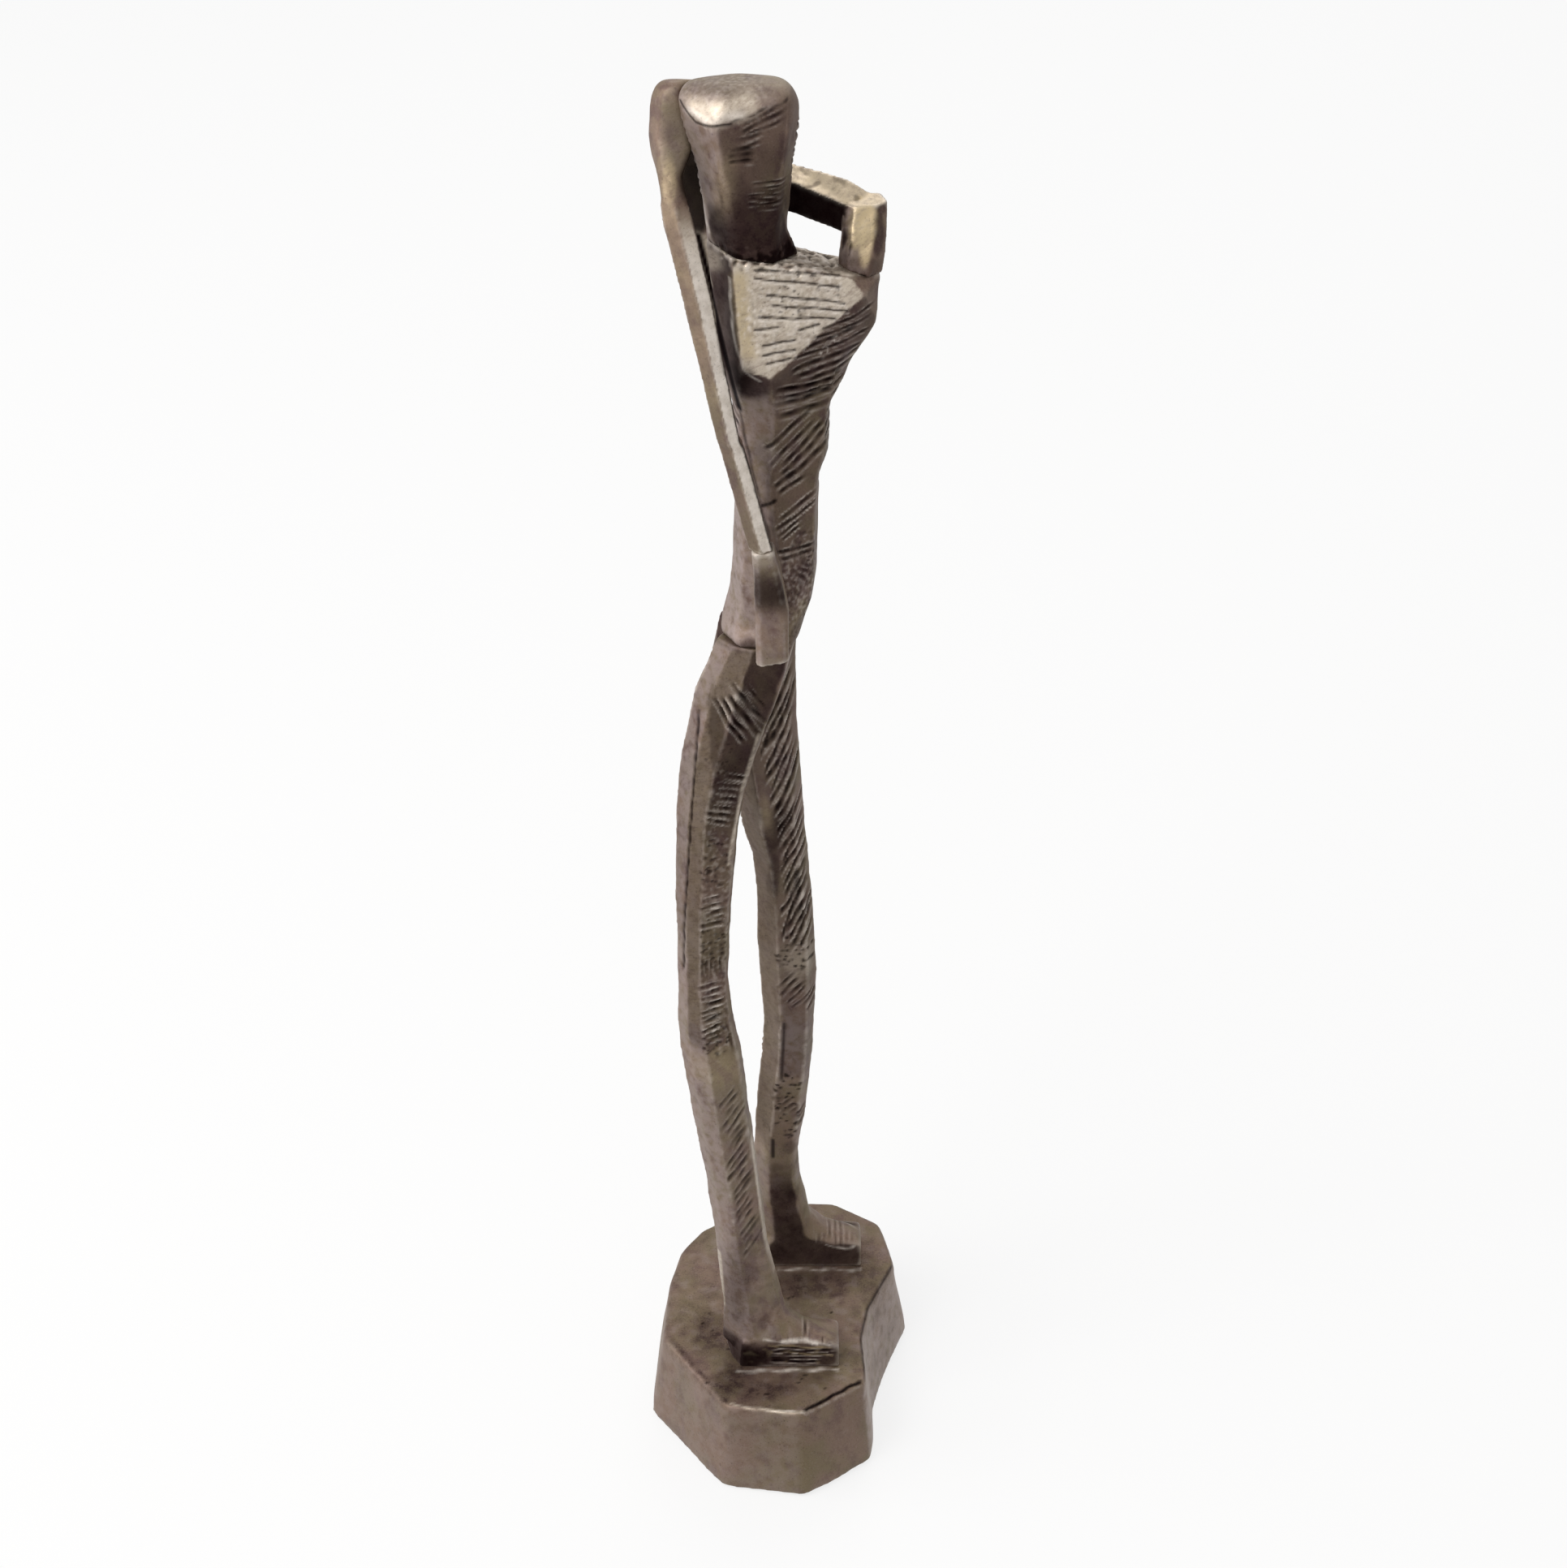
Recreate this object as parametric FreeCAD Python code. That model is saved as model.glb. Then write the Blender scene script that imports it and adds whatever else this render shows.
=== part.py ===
import FreeCAD, Part

import math
import os

# Souvenir figurine: an elongated standing woman, one hand behind the head and the other arm
# reaching down to the hip, on a faceted plinth. It is made from separate metal castings that
# butt on flat seats over steel dowels, and two screws hold the feet to the hollow plinth.
#
# Frame: millimetres. +X is the way the feet point, +Y is the figure's left, +Z is up. The
# origin is on the underside, below the middle of the two feet. "near" is the -Y side, "far"
# the +Y side, "back" is towards -X and "front" towards +X.

# ---------------------------------------------------------------- driving sizes
PLINTH_HEIGHT = 16.0
PLINTH_WALL = 4.0
PLINTH_ROOF = 4.5
PLINTH_CORNER_RADIUS = 2.2
PLINTH_RIM = 2.4             # width of the rim that the pad lies inside
PAD_THICKNESS = 1.5
PAD_PROUD = 0.3              # how far the pad stands below the rim
PAD_GAP = 0.15               # round the edge of the pad

LEG_LENGTH = 126.0           # plinth top to the seat of the torso
TORSO_LENGTH = 55.8          # seat of the torso to the shoulder seat at its high end
HEAD_HEIGHT = 20.8           # shoulder seat at its high end to the crown
SHOULDER_SLOPE = 0.2         # fall of the shoulder seat for each millimetre towards +X
RAISED_SHOULDER = 19.5       # top of the right shoulder above the shoulder seat
WRIST_HEIGHT = 17.0          # above the seat of the torso
ELBOW_HEIGHT = 8.0           # left elbow above the shoulder seat there

FOOT_LENGTH = 17.4
FOOT_WIDTH = 7.3
TOE_THICKNESS = 4.6
TOE_FALL = 1.5               # how much lower the toes are on the far side
INSTEP_HEIGHT = 12.5
HEEL_CORNER = 2.1            # cut off the near corner of the heel

ARM_DEPTH = 3.4              # right arm, near to far
HAND_DEPTH = 4.6             # right hand, before it is fitted to the hip
HAND_LENGTH = 18.0

SCREW_DIAMETER = 3.0
SCREW_LENGTH = 20.0
SCREW_HEAD_DIAMETER = 5.5
SCREW_HEAD_HEIGHT = 3.0
SCREW_SOCKET = 2.5           # across the flats
SCREW_SOCKET_DEPTH = 1.5
WASHER_DIAMETER = 7.0
WASHER_THICKNESS = 0.5
BOSS_DIAMETER = 9.0
HEAD_ROOM = 1.3              # between the pad and the head of a screw

DOWEL_DIAMETER = 2.5
DOWEL_LENGTH = 8.0
SHOULDER_DOWEL_LENGTH = 5.4
ARM_DOWEL_DIAMETER = 2.0     # in the thin upper left arm
HIP_DOWEL_BACK = 2.6         # behind the middle of the feet
HIP_DOWEL_OUT = 2.9          # from the middle plane
THIGH_DOWEL_BACK = 3.7       # behind the middle of the hip, where the thighs touch
THIGH_DOWEL_DROP = 8.8       # below the seat of the torso
NECK_DOWEL_OUT = 0.6         # from the middle plane, to the left
CAP_DOWEL_SHARE = 0.45       # share of the way up the shoulder cap
ARM_DOWEL_IN = 0.6           # from the near corner of the left shoulder
ARM_DOWEL_LEAN = 0.4         # how far the pin in the left arm leans outwards per unit of rise
PIN_DIAMETER = 1.2
PIN_LENGTH = 4.0
FIT = 0.03                   # radial, round dowels, pins and screws
END_ROOM = 0.3               # beyond the end of a dowel, pin or screw

# ---------------------------------------------------------------- levels
HIP = PLINTH_HEIGHT + LEG_LENGTH
SHOULDER = HIP + TORSO_LENGTH
WRIST = HIP + WRIST_HEIGHT
SEAT_HIGH_X = -9.0           # where the shoulder seat is at SHOULDER


def shoulder_seat(x):
    """Height of the sloping shoulder seat at x."""
    return SHOULDER - SHOULDER_SLOPE * (x - SEAT_HIGH_X)


# ---------------------------------------------------------------- shape helpers
def vector(point):
    return FreeCAD.Vector(*point)


def loop(points):
    """Closed polygon through 3-D points."""
    corners = [vector(p) for p in points]
    return Part.makePolygon(corners + corners[:1])


def at_height(points, z):
    return [(x, y, z) for x, y in points]


def wall(a, b, c, d):
    """Flat facets through four corners: one if they share a plane, and else two."""
    u, v, w = (vector(p) - vector(a) for p in (b, c, d))
    if abs(u.cross(v).dot(w)) < 1e-6:
        return [Part.Face(loop([a, b, c, d]))]
    return [Part.Face(loop([a, b, c])), Part.Face(loop([a, c, d]))]


def faceted(rings, peak=None):
    """Solid of flat facets through rings that have the same number of corners.

    The first and last rings are flat, unless a peak closes the last one.
    """
    faces = [Part.Face(loop(rings[0]))]
    for low, high in zip(rings, rings[1:]):
        for i in range(len(low)):
            j = (i + 1) % len(low)
            faces += wall(low[i], low[j], high[j], high[i])
    last = rings[-1]
    if peak is None:
        faces.append(Part.Face(loop(last)))
    else:
        faces += [Part.Face(loop([last[i - 1], last[i], peak])) for i in range(len(last))]
    solid = Part.Solid(Part.Shell(faces))
    if solid.Volume < 0:
        solid.reverse()
    return solid


def rod(start, direction, diameter, length):
    return Part.makeCylinder(diameter / 2, length, vector(start), vector(direction))


def inset(points, distance):
    """Plan outline moved inwards by distance. Its corners run counter-clockwise."""
    moved = []
    for i, (x, y) in enumerate(points):
        before, after = points[i - 1], points[(i + 1) % len(points)]
        a = math.atan2(y - before[1], x - before[0]) + math.pi / 2
        b = math.atan2(after[1] - y, after[0] - x) + math.pi / 2
        reach = distance / (1 + math.cos(b - a))
        moved.append((x + reach * (math.cos(a) + math.cos(b)), y + reach * (math.sin(a) + math.sin(b))))
    return moved


def rounded(points, z, radius):
    """Level wire through plan corners, each rounded by an arc that touches both its sides."""
    starts, arcs = [], []
    for i, (x, y) in enumerate(points):
        corner = FreeCAD.Vector(x, y, z)
        to_before = FreeCAD.Vector(*points[i - 1], z) - corner
        to_after = FreeCAD.Vector(*points[(i + 1) % len(points)], z) - corner
        half = to_before.getAngle(to_after) / 2
        reach = radius / math.tan(half)
        to_before.normalize()
        to_after.normalize()
        bisector = (to_before + to_after).normalize()
        crest = corner + bisector * (radius / math.sin(half) - radius)
        start, end = corner + to_before * reach, corner + to_after * reach
        starts.append(start)
        arcs.append(Part.Arc(start, crest, end))
    edges = []
    for i, arc in enumerate(arcs):
        edges.append(arc.toShape())
        edges.append(Part.LineSegment(arc.EndPoint, starts[(i + 1) % len(starts)]).toShape())
    return Part.Wire(edges)


# ---------------------------------------------------------------- dowels
class Dowel:
    """Straight pin across a joint, half in each of its two castings."""

    def __init__(self, castings, middle, direction, diameter=DOWEL_DIAMETER, length=DOWEL_LENGTH):
        self.castings = castings
        self.middle, self.axis = vector(middle), vector(direction).normalize()
        self.diameter, self.length = diameter, length

    def cylinder(self, radial, endwise):
        length = self.length + 2 * endwise
        start = self.middle - self.axis * (length / 2)
        return Part.makeCylinder(self.diameter / 2 + radial, length, start, self.axis)

    def pin(self):
        return self.cylinder(0, 0)

    def hole(self):
        return self.cylinder(FIT, END_ROOM)


# ---------------------------------------------------------------- plinth
# Corners of the top face, counter-clockwise from the near left, and how far the
# foot of the wall stands out beyond each.
PLINTH_CORNERS = [
    (-18.2, -8.3, 2.5),
    (-8.2, -22.9, 2.1),
    (3.6, -24.6, 2.5),
    (13.4, -17.6, 2.2),
    (12.8, -8.0, 2.6),
    (14.0, -1.5, 2.9),
    (18.3, 8.4, 3.0),
    (16.3, 18.0, 2.6),
    (9.0, 22.9, 2.0),
    (-4.0, 22.6, 2.0),
    (-12.6, 16.4, 2.2),
    (-16.0, 11.3, 2.3),
    (-17.4, 4.8, 2.5),
]


def plinth_outlines():
    """Plan corners of the top face and of the foot of the wall."""
    top = [(x, y) for x, y, _ in PLINTH_CORNERS]
    foot = [(x * (1 + flare / math.hypot(x, y)), y * (1 + flare / math.hypot(x, y)))
            for x, y, flare in PLINTH_CORNERS]
    return top, foot


class Foot:
    """Place of one foot on the plinth, and of the screw that holds it."""

    def __init__(self, heel_x, middle_y, screw_from_heel):
        self.heel_x = heel_x
        self.middle_y = middle_y
        self.near_y = middle_y - FOOT_WIDTH / 2
        self.screw = (heel_x + screw_from_heel, middle_y)


RIGHT_FOOT = Foot(heel_x=-8.2, middle_y=-10.75, screw_from_heel=4.4)
LEFT_FOOT = Foot(heel_x=-4.3, middle_y=11.65, screw_from_heel=4.4)

SCREW_SEAT = PAD_THICKNESS + HEAD_ROOM + SCREW_HEAD_HEIGHT
BOSS_FOOT = SCREW_SEAT + WASHER_THICKNESS


def make_plinth():
    top, foot = plinth_outlines()
    body = Part.makeLoft([
        rounded(foot, PAD_PROUD, PLINTH_CORNER_RADIUS),
        rounded(top, PLINTH_HEIGHT, PLINTH_CORNER_RADIUS),
    ], True, True)
    pad_bed = faceted([at_height(inset(foot, PLINTH_RIM), z) for z in (PAD_PROUD, PAD_THICKNESS)])
    hollow = faceted([
        at_height(inset(foot, PLINTH_WALL), PAD_THICKNESS),
        at_height(inset(top, PLINTH_WALL), PLINTH_HEIGHT - PLINTH_ROOF),
    ])
    for place in (RIGHT_FOOT, LEFT_FOOT):
        boss = rod((*place.screw, BOSS_FOOT), (0, 0, 1), BOSS_DIAMETER, PLINTH_HEIGHT - BOSS_FOOT)
        hollow = hollow.cut(boss)
    body = body.cut(pad_bed).cut(hollow)
    for place in (RIGHT_FOOT, LEFT_FOOT):
        body = body.cut(rod((*place.screw, 0), (0, 0, 1), SCREW_DIAMETER + 2 * FIT, PLINTH_HEIGHT))
    return body


def make_pad():
    _, foot = plinth_outlines()
    edge = inset(foot, PLINTH_RIM + PAD_GAP)
    return faceted([at_height(edge, z) for z in (0, PAD_THICKNESS)])


def make_washer(place):
    start = (*place.screw, SCREW_SEAT)
    disc = rod(start, (0, 0, 1), WASHER_DIAMETER, WASHER_THICKNESS)
    return disc.cut(rod(start, (0, 0, 1), SCREW_DIAMETER + 2 * FIT, WASHER_THICKNESS))


def make_screw(place):
    """Socket-head screw, head down, its shank up through the plinth into the heel."""
    x, y = place.screw
    low = SCREW_SEAT - SCREW_HEAD_HEIGHT
    corner = SCREW_SOCKET / math.sqrt(3)
    turns = [math.radians(60 * i) for i in range(6)]
    hexagon = [(x + corner * math.cos(turn), y + corner * math.sin(turn)) for turn in turns]
    shank = rod((x, y, SCREW_SEAT), (0, 0, 1), SCREW_DIAMETER, SCREW_LENGTH)
    head = rod((x, y, low), (0, 0, 1), SCREW_HEAD_DIAMETER, SCREW_HEAD_HEIGHT)
    return shank.fuse(head).cut(faceted([at_height(hexagon, z) for z in (low, low + SCREW_SOCKET_DEPTH)]))


def tapped_hole(place):
    """Hole for the screw in the sole of a foot."""
    top = SCREW_SEAT + SCREW_LENGTH + END_ROOM
    return rod((*place.screw, PLINTH_HEIGHT), (0, 0, 1), SCREW_DIAMETER + 2 * FIT, top - PLINTH_HEIGHT)


# ---------------------------------------------------------------- legs
# Corners of a leg in plan, counter-clockwise from the back: share of the way from back to
# front, and share of the way from near to far.
RIGHT_LEG_FACETS = [(0.0, 0.5), (0.2, 0.16), (0.46, 0.0), (0.95, 0.24), (1.0, 0.6), (0.78, 1.0), (0.2, 1.0)]
LEFT_LEG_FACETS = [(0.0, 0.45), (0.34, 0.0), (0.86, 0.0), (1.0, 0.35), (0.9, 0.84), (0.5, 1.0), (0.12, 0.82)]

# Stations up a leg: height as a share of LEG_LENGTH, back, front, and the outer and inner
# side as shares of the distance from the middle plane to the middle of the foot.
RIGHT_LEG = [
    (0.020, -8.9, 3.4, 1.33, 0.65),
    (0.085, -8.8, 0.6, 1.32, 0.64),
    (0.178, -9.7, -1.8, 1.27, 0.61),
    (0.277, -11.0, -3.1, 1.21, 0.55),
    (0.373, -12.8, -4.5, 1.14, 0.48),
    (0.467, -14.3, -5.7, 1.07, 0.43),
    (0.512, -14.7, -6.8, 1.02, 0.39),
    (0.567, -14.5, -7.5, 0.95, 0.35),
    (0.679, -14.6, -6.7, 0.88, 0.28),
    (0.773, -14.3, -5.7, 0.82, 0.17),
    (0.817, -14.0, -4.4, 0.78, 0.0),
    (0.857, -13.4, -3.1, 0.74, 0.0),
    (0.937, -11.3, 0.3, 0.68, 0.0),
    (1.000, -8.3, 2.3, 0.63, 0.0),
]
LEFT_LEG = [
    (0.020, -4.2, 6.8, 1.31, 0.70),
    (0.070, -4.1, 5.0, 1.31, 0.70),
    (0.128, -4.3, 3.5, 1.29, 0.69),
    (0.185, -4.2, 2.8, 1.24, 0.67),
    (0.269, -3.5, 4.1, 1.18, 0.62),
    (0.351, -2.7, 4.9, 1.12, 0.56),
    (0.405, -2.4, 5.2, 1.08, 0.51),
    (0.483, -3.0, 5.5, 1.03, 0.45),
    (0.535, -3.2, 5.2, 0.98, 0.39),
    (0.600, -3.3, 4.7, 0.93, 0.33),
    (0.662, -3.8, 4.1, 0.88, 0.25),
    (0.710, -5.4, 3.7, 0.82, 0.15),
    (0.758, -5.9, 3.3, 0.76, 0.0),
    (0.870, -8.6, 2.3, 0.65, 0.0),
    (0.955, -9.2, 2.3, 0.61, 0.0),
    (1.000, -8.0, 2.3, 0.59, 0.0),
]
INSTEP_SHELF = 0.14          # height of a foot's outer edges, as a share of the rise to the instep
# A foot's outlines, from near to far: share of its width, and shares of the rise to the
# instep, of the fall of the toes and of the corner off the heel.
FOOT_SIDES = [
    (0.00, INSTEP_SHELF, 0.00, 1.0),
    (0.30, 1.00, 0.15, 0.4),
    (0.76, 1.00, 0.80, 0.0),
    (1.00, INSTEP_SHELF, 1.00, 0.7),
]
# Upper corners of an outline: share of the foot's length, and of the rise to the instep.
FOOT_TOP = [(1.0, 0.0), (0.68, 0.25), (0.52, 0.60), (0.42, 1.0)]
HEEL_TOP = [(0.12, 0.8), (0.02, 0.2)]


def leg_ring(place, station, facets):
    share, back, front, outer, inner = station
    near, far = sorted((outer * place.middle_y, inner * place.middle_y))
    z = PLINTH_HEIGHT + share * LEG_LENGTH
    return [(back + u * (front - back), near + v * (far - near), z) for u, v in facets]


def foot_side(place, across, rise, fall, corner):
    """Outline of a foot seen from its side, for one row of FOOT_SIDES."""
    y = place.near_y + across * FOOT_WIDTH
    toes, heel = place.heel_x + FOOT_LENGTH, place.heel_x + corner * HEEL_CORNER
    toe_top = PLINTH_HEIGHT + TOE_THICKNESS - fall * TOE_FALL
    instep = rise * (INSTEP_HEIGHT - TOE_THICKNESS)
    outline = [(heel, y, PLINTH_HEIGHT), (toes, y, PLINTH_HEIGHT)]
    outline += [(place.heel_x + u * FOOT_LENGTH, y, toe_top + v * instep) for u, v in FOOT_TOP]
    outline += [(heel + u * FOOT_LENGTH, y, toe_top + v * instep) for u, v in HEEL_TOP]
    return outline


def make_leg(place, stations, facets):
    """Leg and foot in one casting."""
    leg = faceted([leg_ring(place, station, facets) for station in stations])
    foot = faceted([foot_side(place, *row) for row in FOOT_SIDES])
    return leg.fuse(foot).cut(tapped_hole(place))


# ---------------------------------------------------------------- torso
# The hem sits on the tops of the legs and overhangs them at the front.
HEM = [(-8.0, -2.4), (-5.6, -6.3), (1.5, -7.0), (2.4, -3.4), (2.3, 0.7), (1.3, 5.6), (-2.5, 7.1), (-7.2, 5.0)]
# Levels of the belly: height as a share of TORSO_LENGTH, back, front, the near ridge (its
# place from back to front, and how far it stands out) and the far side.
TORSO = [
    (0.045, -7.6, 3.6, 1.4, -6.8, 6.7),
    (0.100, -6.8, 4.6, 1.3, -6.5, 6.5),
    (0.215, -6.1, 5.1, 0.2, -6.0, 6.0),
    (0.420, -5.7, 5.2, -1.1, -5.4, 5.3),
    (0.435, -5.8, 5.4, -1.1, -5.4, 5.3),
    (0.480, -5.8, 6.4, -1.0, -5.2, 5.1),
    (0.550, -6.0, 6.6, -0.7, -5.1, 5.0),
    (0.610, -6.2, 6.8, -0.5, -5.1, 5.0),
]
# The breast: x, y and height as a share of TORSO_LENGTH, counter-clockwise from the back.
# Its edge climbs from the ribs on the near side to the left armpit.
UNDER_BREAST = [(-6.9, -0.6, 0.66), (-5.1, -4.4, 0.66), (-0.7, -5.7, 0.66), (7.1, -3.2, 0.72),
                (9.0, 0.5, 0.695), (8.6, 4.4, 0.70), (-0.2, 5.6, 0.67), (-5.4, 4.3, 0.66)]
BREAST = [(-7.9, -1.0, 0.745), (-4.8, -6.7, 0.737), (-1.0, -7.1, 0.719), (10.8, -2.9, 0.893),
          (12.4, 0.5, 0.80), (11.0, 4.4, 0.82), (0.0, 6.0, 0.77), (-5.8, 5.0, 0.75)]
SHOULDERS = [(-9.0, 0.6), (-6.0, -3.9), (-2.0, -3.6), (8.9, -2.5), (12.9, 0.4), (11.3, 3.0),
             (0.0, 3.4), (-8.2, 5.2)]

# The horn of the raised right shoulder climbs behind the head: height above the high end of
# the shoulder seat, back, front and near side.
HORN_NEAR = 4.7
HORN_FAR = 8.6
HORN = [
    (-14.0, -8.4, -2.4, 2.0),
    (-2.0, -11.4, -2.8, HORN_NEAR),
    (4.0, -12.9, -5.4, HORN_NEAR),
    (11.0, -14.5, -8.6, HORN_NEAR),
    (17.0, -14.3, -9.8, HORN_NEAR),
]
HORN_TAPER = 0.6             # how much narrower it is at each end of its far side
# Plan corners of the torso's levels, as shares. The bevels are shares of the depth, and the
# corners' places are shares of the way from the middle to the near or the far side.
TORSO_BEVEL = 0.13           # bevel at each end of the far side
BACK_BEVEL = 0.22            # bevel of the back, on its near side
FRONT_BEVEL = 0.045          # bevel of the front, on its near side
BACK_CORNERS = 0.62
FRONT_NEAR, FRONT_RIDGE, FRONT_FAR = 0.5, 0.1, 0.7


def torso_ring(share, back, front, ridge, near, far):
    z = HIP + share * TORSO_LENGTH
    depth = front - back
    bevel = TORSO_BEVEL * depth
    return [
        (back, 0.0, z),
        (back + BACK_BEVEL * (ridge - back), BACK_CORNERS * near, z),
        (ridge, near, z),
        (front - FRONT_BEVEL * depth, FRONT_NEAR * near, z),
        (front, FRONT_RIDGE * far, z),
        (front - bevel, FRONT_FAR * far, z),
        ((back + front) / 2, far, z),
        (back + bevel, BACK_CORNERS * far, z),
    ]


def make_torso():
    rings = [at_height(HEM, HIP)]
    rings += [torso_ring(*level) for level in TORSO]
    for level in (UNDER_BREAST, BREAST):
        rings.append([(x, y, HIP + share * TORSO_LENGTH) for x, y, share in level])
    rings.append([(x, y, shoulder_seat(x)) for x, y in SHOULDERS])
    horn = faceted([
        [(back, near, SHOULDER + up), (front, near, SHOULDER + up),
         (front - HORN_TAPER, HORN_FAR, SHOULDER + up), (back + HORN_TAPER, HORN_FAR, SHOULDER + up)]
        for up, back, front, near in HORN
    ])
    return faceted(rings).fuse(horn)


# ---------------------------------------------------------------- head
# Corners of the levels of the head, counter-clockwise from the back. The brow and crown
# give each corner's height above the level too.
NECK = [(-8.9, 0.4), (-5.2, -3.9), (-0.6, -3.2), (2.6, 1.0), (0.4, 3.2), (-5.0, 4.1), (-8.2, 3.6)]
THROAT = [(-8.8, 0.4), (-5.5, -4.1), (-0.6, -3.2), (0.9, 0.8), (-0.8, 3.4), (-5.0, 4.2), (-8.2, 3.6)]
CHEEK = [(-9.8, 0.2), (-6.5, -5.0), (0.0, -3.6), (1.5, 0.5), (0.0, 3.9), (-5.0, 4.4), (-9.0, 3.6)]
BROW = [(-12.4, -0.2, 1.4), (-7.7, -5.5, -0.2), (1.3, -3.1, 1.7), (2.6, 0.5, 0.6), (1.0, 3.9, 1.0),
        (-5.0, 4.4, 1.4), (-11.6, 3.6, 1.4)]
CROWN = [(-11.2, 0.6, -0.7), (-7.0, -2.6, -0.3), (0.2, -1.6, -0.3), (1.2, 0.7, -0.4), (0.2, 3.2, -0.6),
         (-5.0, 3.8, -0.4), (-10.6, 3.2, -0.8)]
THROAT_RISE = 1.6            # above the high end of the shoulder seat
CHEEK_SHARE = 0.44           # of HEAD_HEIGHT
BROW_SHARE = 0.85
CROWN_PEAK = (-4.6, 1.0)


def make_head():
    cheek = SHOULDER + CHEEK_SHARE * HEAD_HEIGHT
    brow = SHOULDER + BROW_SHARE * HEAD_HEIGHT
    crown = SHOULDER + HEAD_HEIGHT
    return faceted([
        [(x, y, shoulder_seat(x)) for x, y in NECK],
        at_height(THROAT, SHOULDER + THROAT_RISE),
        at_height(CHEEK, cheek),
        [(x, y, brow + up) for x, y, up in BROW],
        [(x, y, crown + up) for x, y, up in CROWN],
    ], peak=(*CROWN_PEAK, crown))


# ---------------------------------------------------------------- right arm and hand
# The straight bar: share of the way from the wrist to its upper end, back, front and near side.
RIGHT_ARM = [
    (0.00, -3.90, -0.90, -10.8),
    (0.30, -7.50, -4.50, -9.8),
    (0.32, -7.80, -5.00, -10.0),
    (0.69, -11.80, -8.30, -7.2),
    (0.88, -14.10, -10.40, -4.8),
    (1.00, -15.00, -11.80, -2.8),
]
ARM_FACETS = [(0.0, 0.45), (0.55, 0.0), (1.0, 0.3), (0.9, 1.0), (0.25, 1.0)]
# The shoulder cap: share of the way up from the bar to its top, back, front and near side.
SHOULDER_CAP = [
    (0.08, -15.6, -11.3, -2.0),
    (0.38, -16.1, -10.0, 0.2),
    (0.80, -15.8, -9.0, 1.2),
    (0.95, -15.2, -9.0, 1.8),
    (1.00, -14.4, -9.4, 2.6),
]
CAP_FACETS = [(0.0, 0.55), (0.22, 0.0), (1.0, 0.1), (1.0, 1.0), (0.12, 1.0)]
CAP_RISE = 10.3              # height of the shoulder cap
BAR_TOP = SHOULDER + RAISED_SHOULDER - CAP_RISE


def arm_ring(facets, z, back, front, near, far):
    return [(back + u * (front - back), near + v * (far - near), z) for u, v in facets]


def make_right_arm(head):
    rings = [
        arm_ring(ARM_FACETS, WRIST + share * (BAR_TOP - WRIST), back, front, near, near + ARM_DEPTH)
        for share, back, front, near in RIGHT_ARM
    ]
    rings += [
        arm_ring(CAP_FACETS, BAR_TOP + share * CAP_RISE, back, front, near, HORN_NEAR)
        for share, back, front, near in SHOULDER_CAP
    ]
    return faceted(rings).cut(head)


# The flat hand: share of the way down from the wrist to the finger tips, back, front, near
# and share of HAND_DEPTH.
RIGHT_HAND = [
    (0.00, -3.5, -0.8, -10.7, 0.74),
    (0.18, -3.2, 0.0, -10.1, 0.85),
    (0.56, -3.1, 1.2, -8.7, 1.0),
    (1.00, -3.0, 1.3, -9.5, 1.0),
]
HAND_EDGE = 0.6              # bevel down each side
FINGER_SLANT = 0.9           # how much higher the finger tips end at the front


def make_right_hand(neighbours):
    """Flat hand, fitted to the hip that it lies on."""
    rings = []
    for share, back, front, near, depth in RIGHT_HAND:
        far, z = near + depth * HAND_DEPTH, WRIST - share * HAND_LENGTH
        rings.append([(back, near + HAND_EDGE, z), (back + HAND_EDGE, near, z), (front - HAND_EDGE, near, z),
                      (front, near + HAND_EDGE, z), (front, far, z), (back, far, z)])
    rings[-1] = [(x, y, z + FINGER_SLANT * (x - back) / (front - back)) for x, y, z in rings[-1]]
    hand = faceted(rings)
    for other in neighbours:
        hand = hand.cut(other)
    return hand


# ---------------------------------------------------------------- left arm
# Plan corners of the upper arm at the shoulder seat, below the elbow and at the elbow.
ARM_SEAT = [(7.5, 0.6), (8.6, -1.4), (11.2, -1.9), (12.9, 0.4), (11.5, 2.9), (8.4, 2.9)]
ARM_RISE = [(7.9, 1.8), (9.2, 0.6), (12.0, 0.7), (13.6, 2.4), (12.9, 5.8), (9.0, 6.0)]
ELBOW_TIP = [(8.4, 2.9), (9.6, 2.3), (12.2, 2.6), (13.6, 4.2), (12.8, 6.4), (9.2, 6.6)]
ELBOW_DROP = 2.7             # from the elbow to the corners of ARM_RISE
ELBOW = shoulder_seat(ARM_SEAT[3][0]) + ELBOW_HEIGHT
# The forearm, from the elbow to the hand: x, near, far, and its underside, ridge and top
# as heights above the elbow.
FOREARM = [
    (11.6, 3.0, 6.3, -3.4, -1.0, 0.0),
    (8.6, 2.6, 6.6, -3.8, -0.2, 1.8),
    (1.8, 4.4, 8.0, -1.7, 2.2, 3.3),
    (-4.2, 4.2, 8.2, -0.4, 3.9, 4.7),
]


def make_left_arm(head):
    """Bent arm: up from the shoulder to the elbow, then back to the far side of the head."""
    upper = faceted([
        [(x, y, shoulder_seat(x)) for x, y in ARM_SEAT],
        at_height(ARM_RISE, ELBOW - ELBOW_DROP),
        at_height(ELBOW_TIP, ELBOW),
    ])
    forearm = faceted([
        [(x, near, ELBOW + low), (x, near, ELBOW + ridge), (x, far, ELBOW + high), (x, far, ELBOW + low)]
        for x, near, far, low, ridge, high in FOREARM
    ])
    return upper.fuse(forearm).cut(head)


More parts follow.
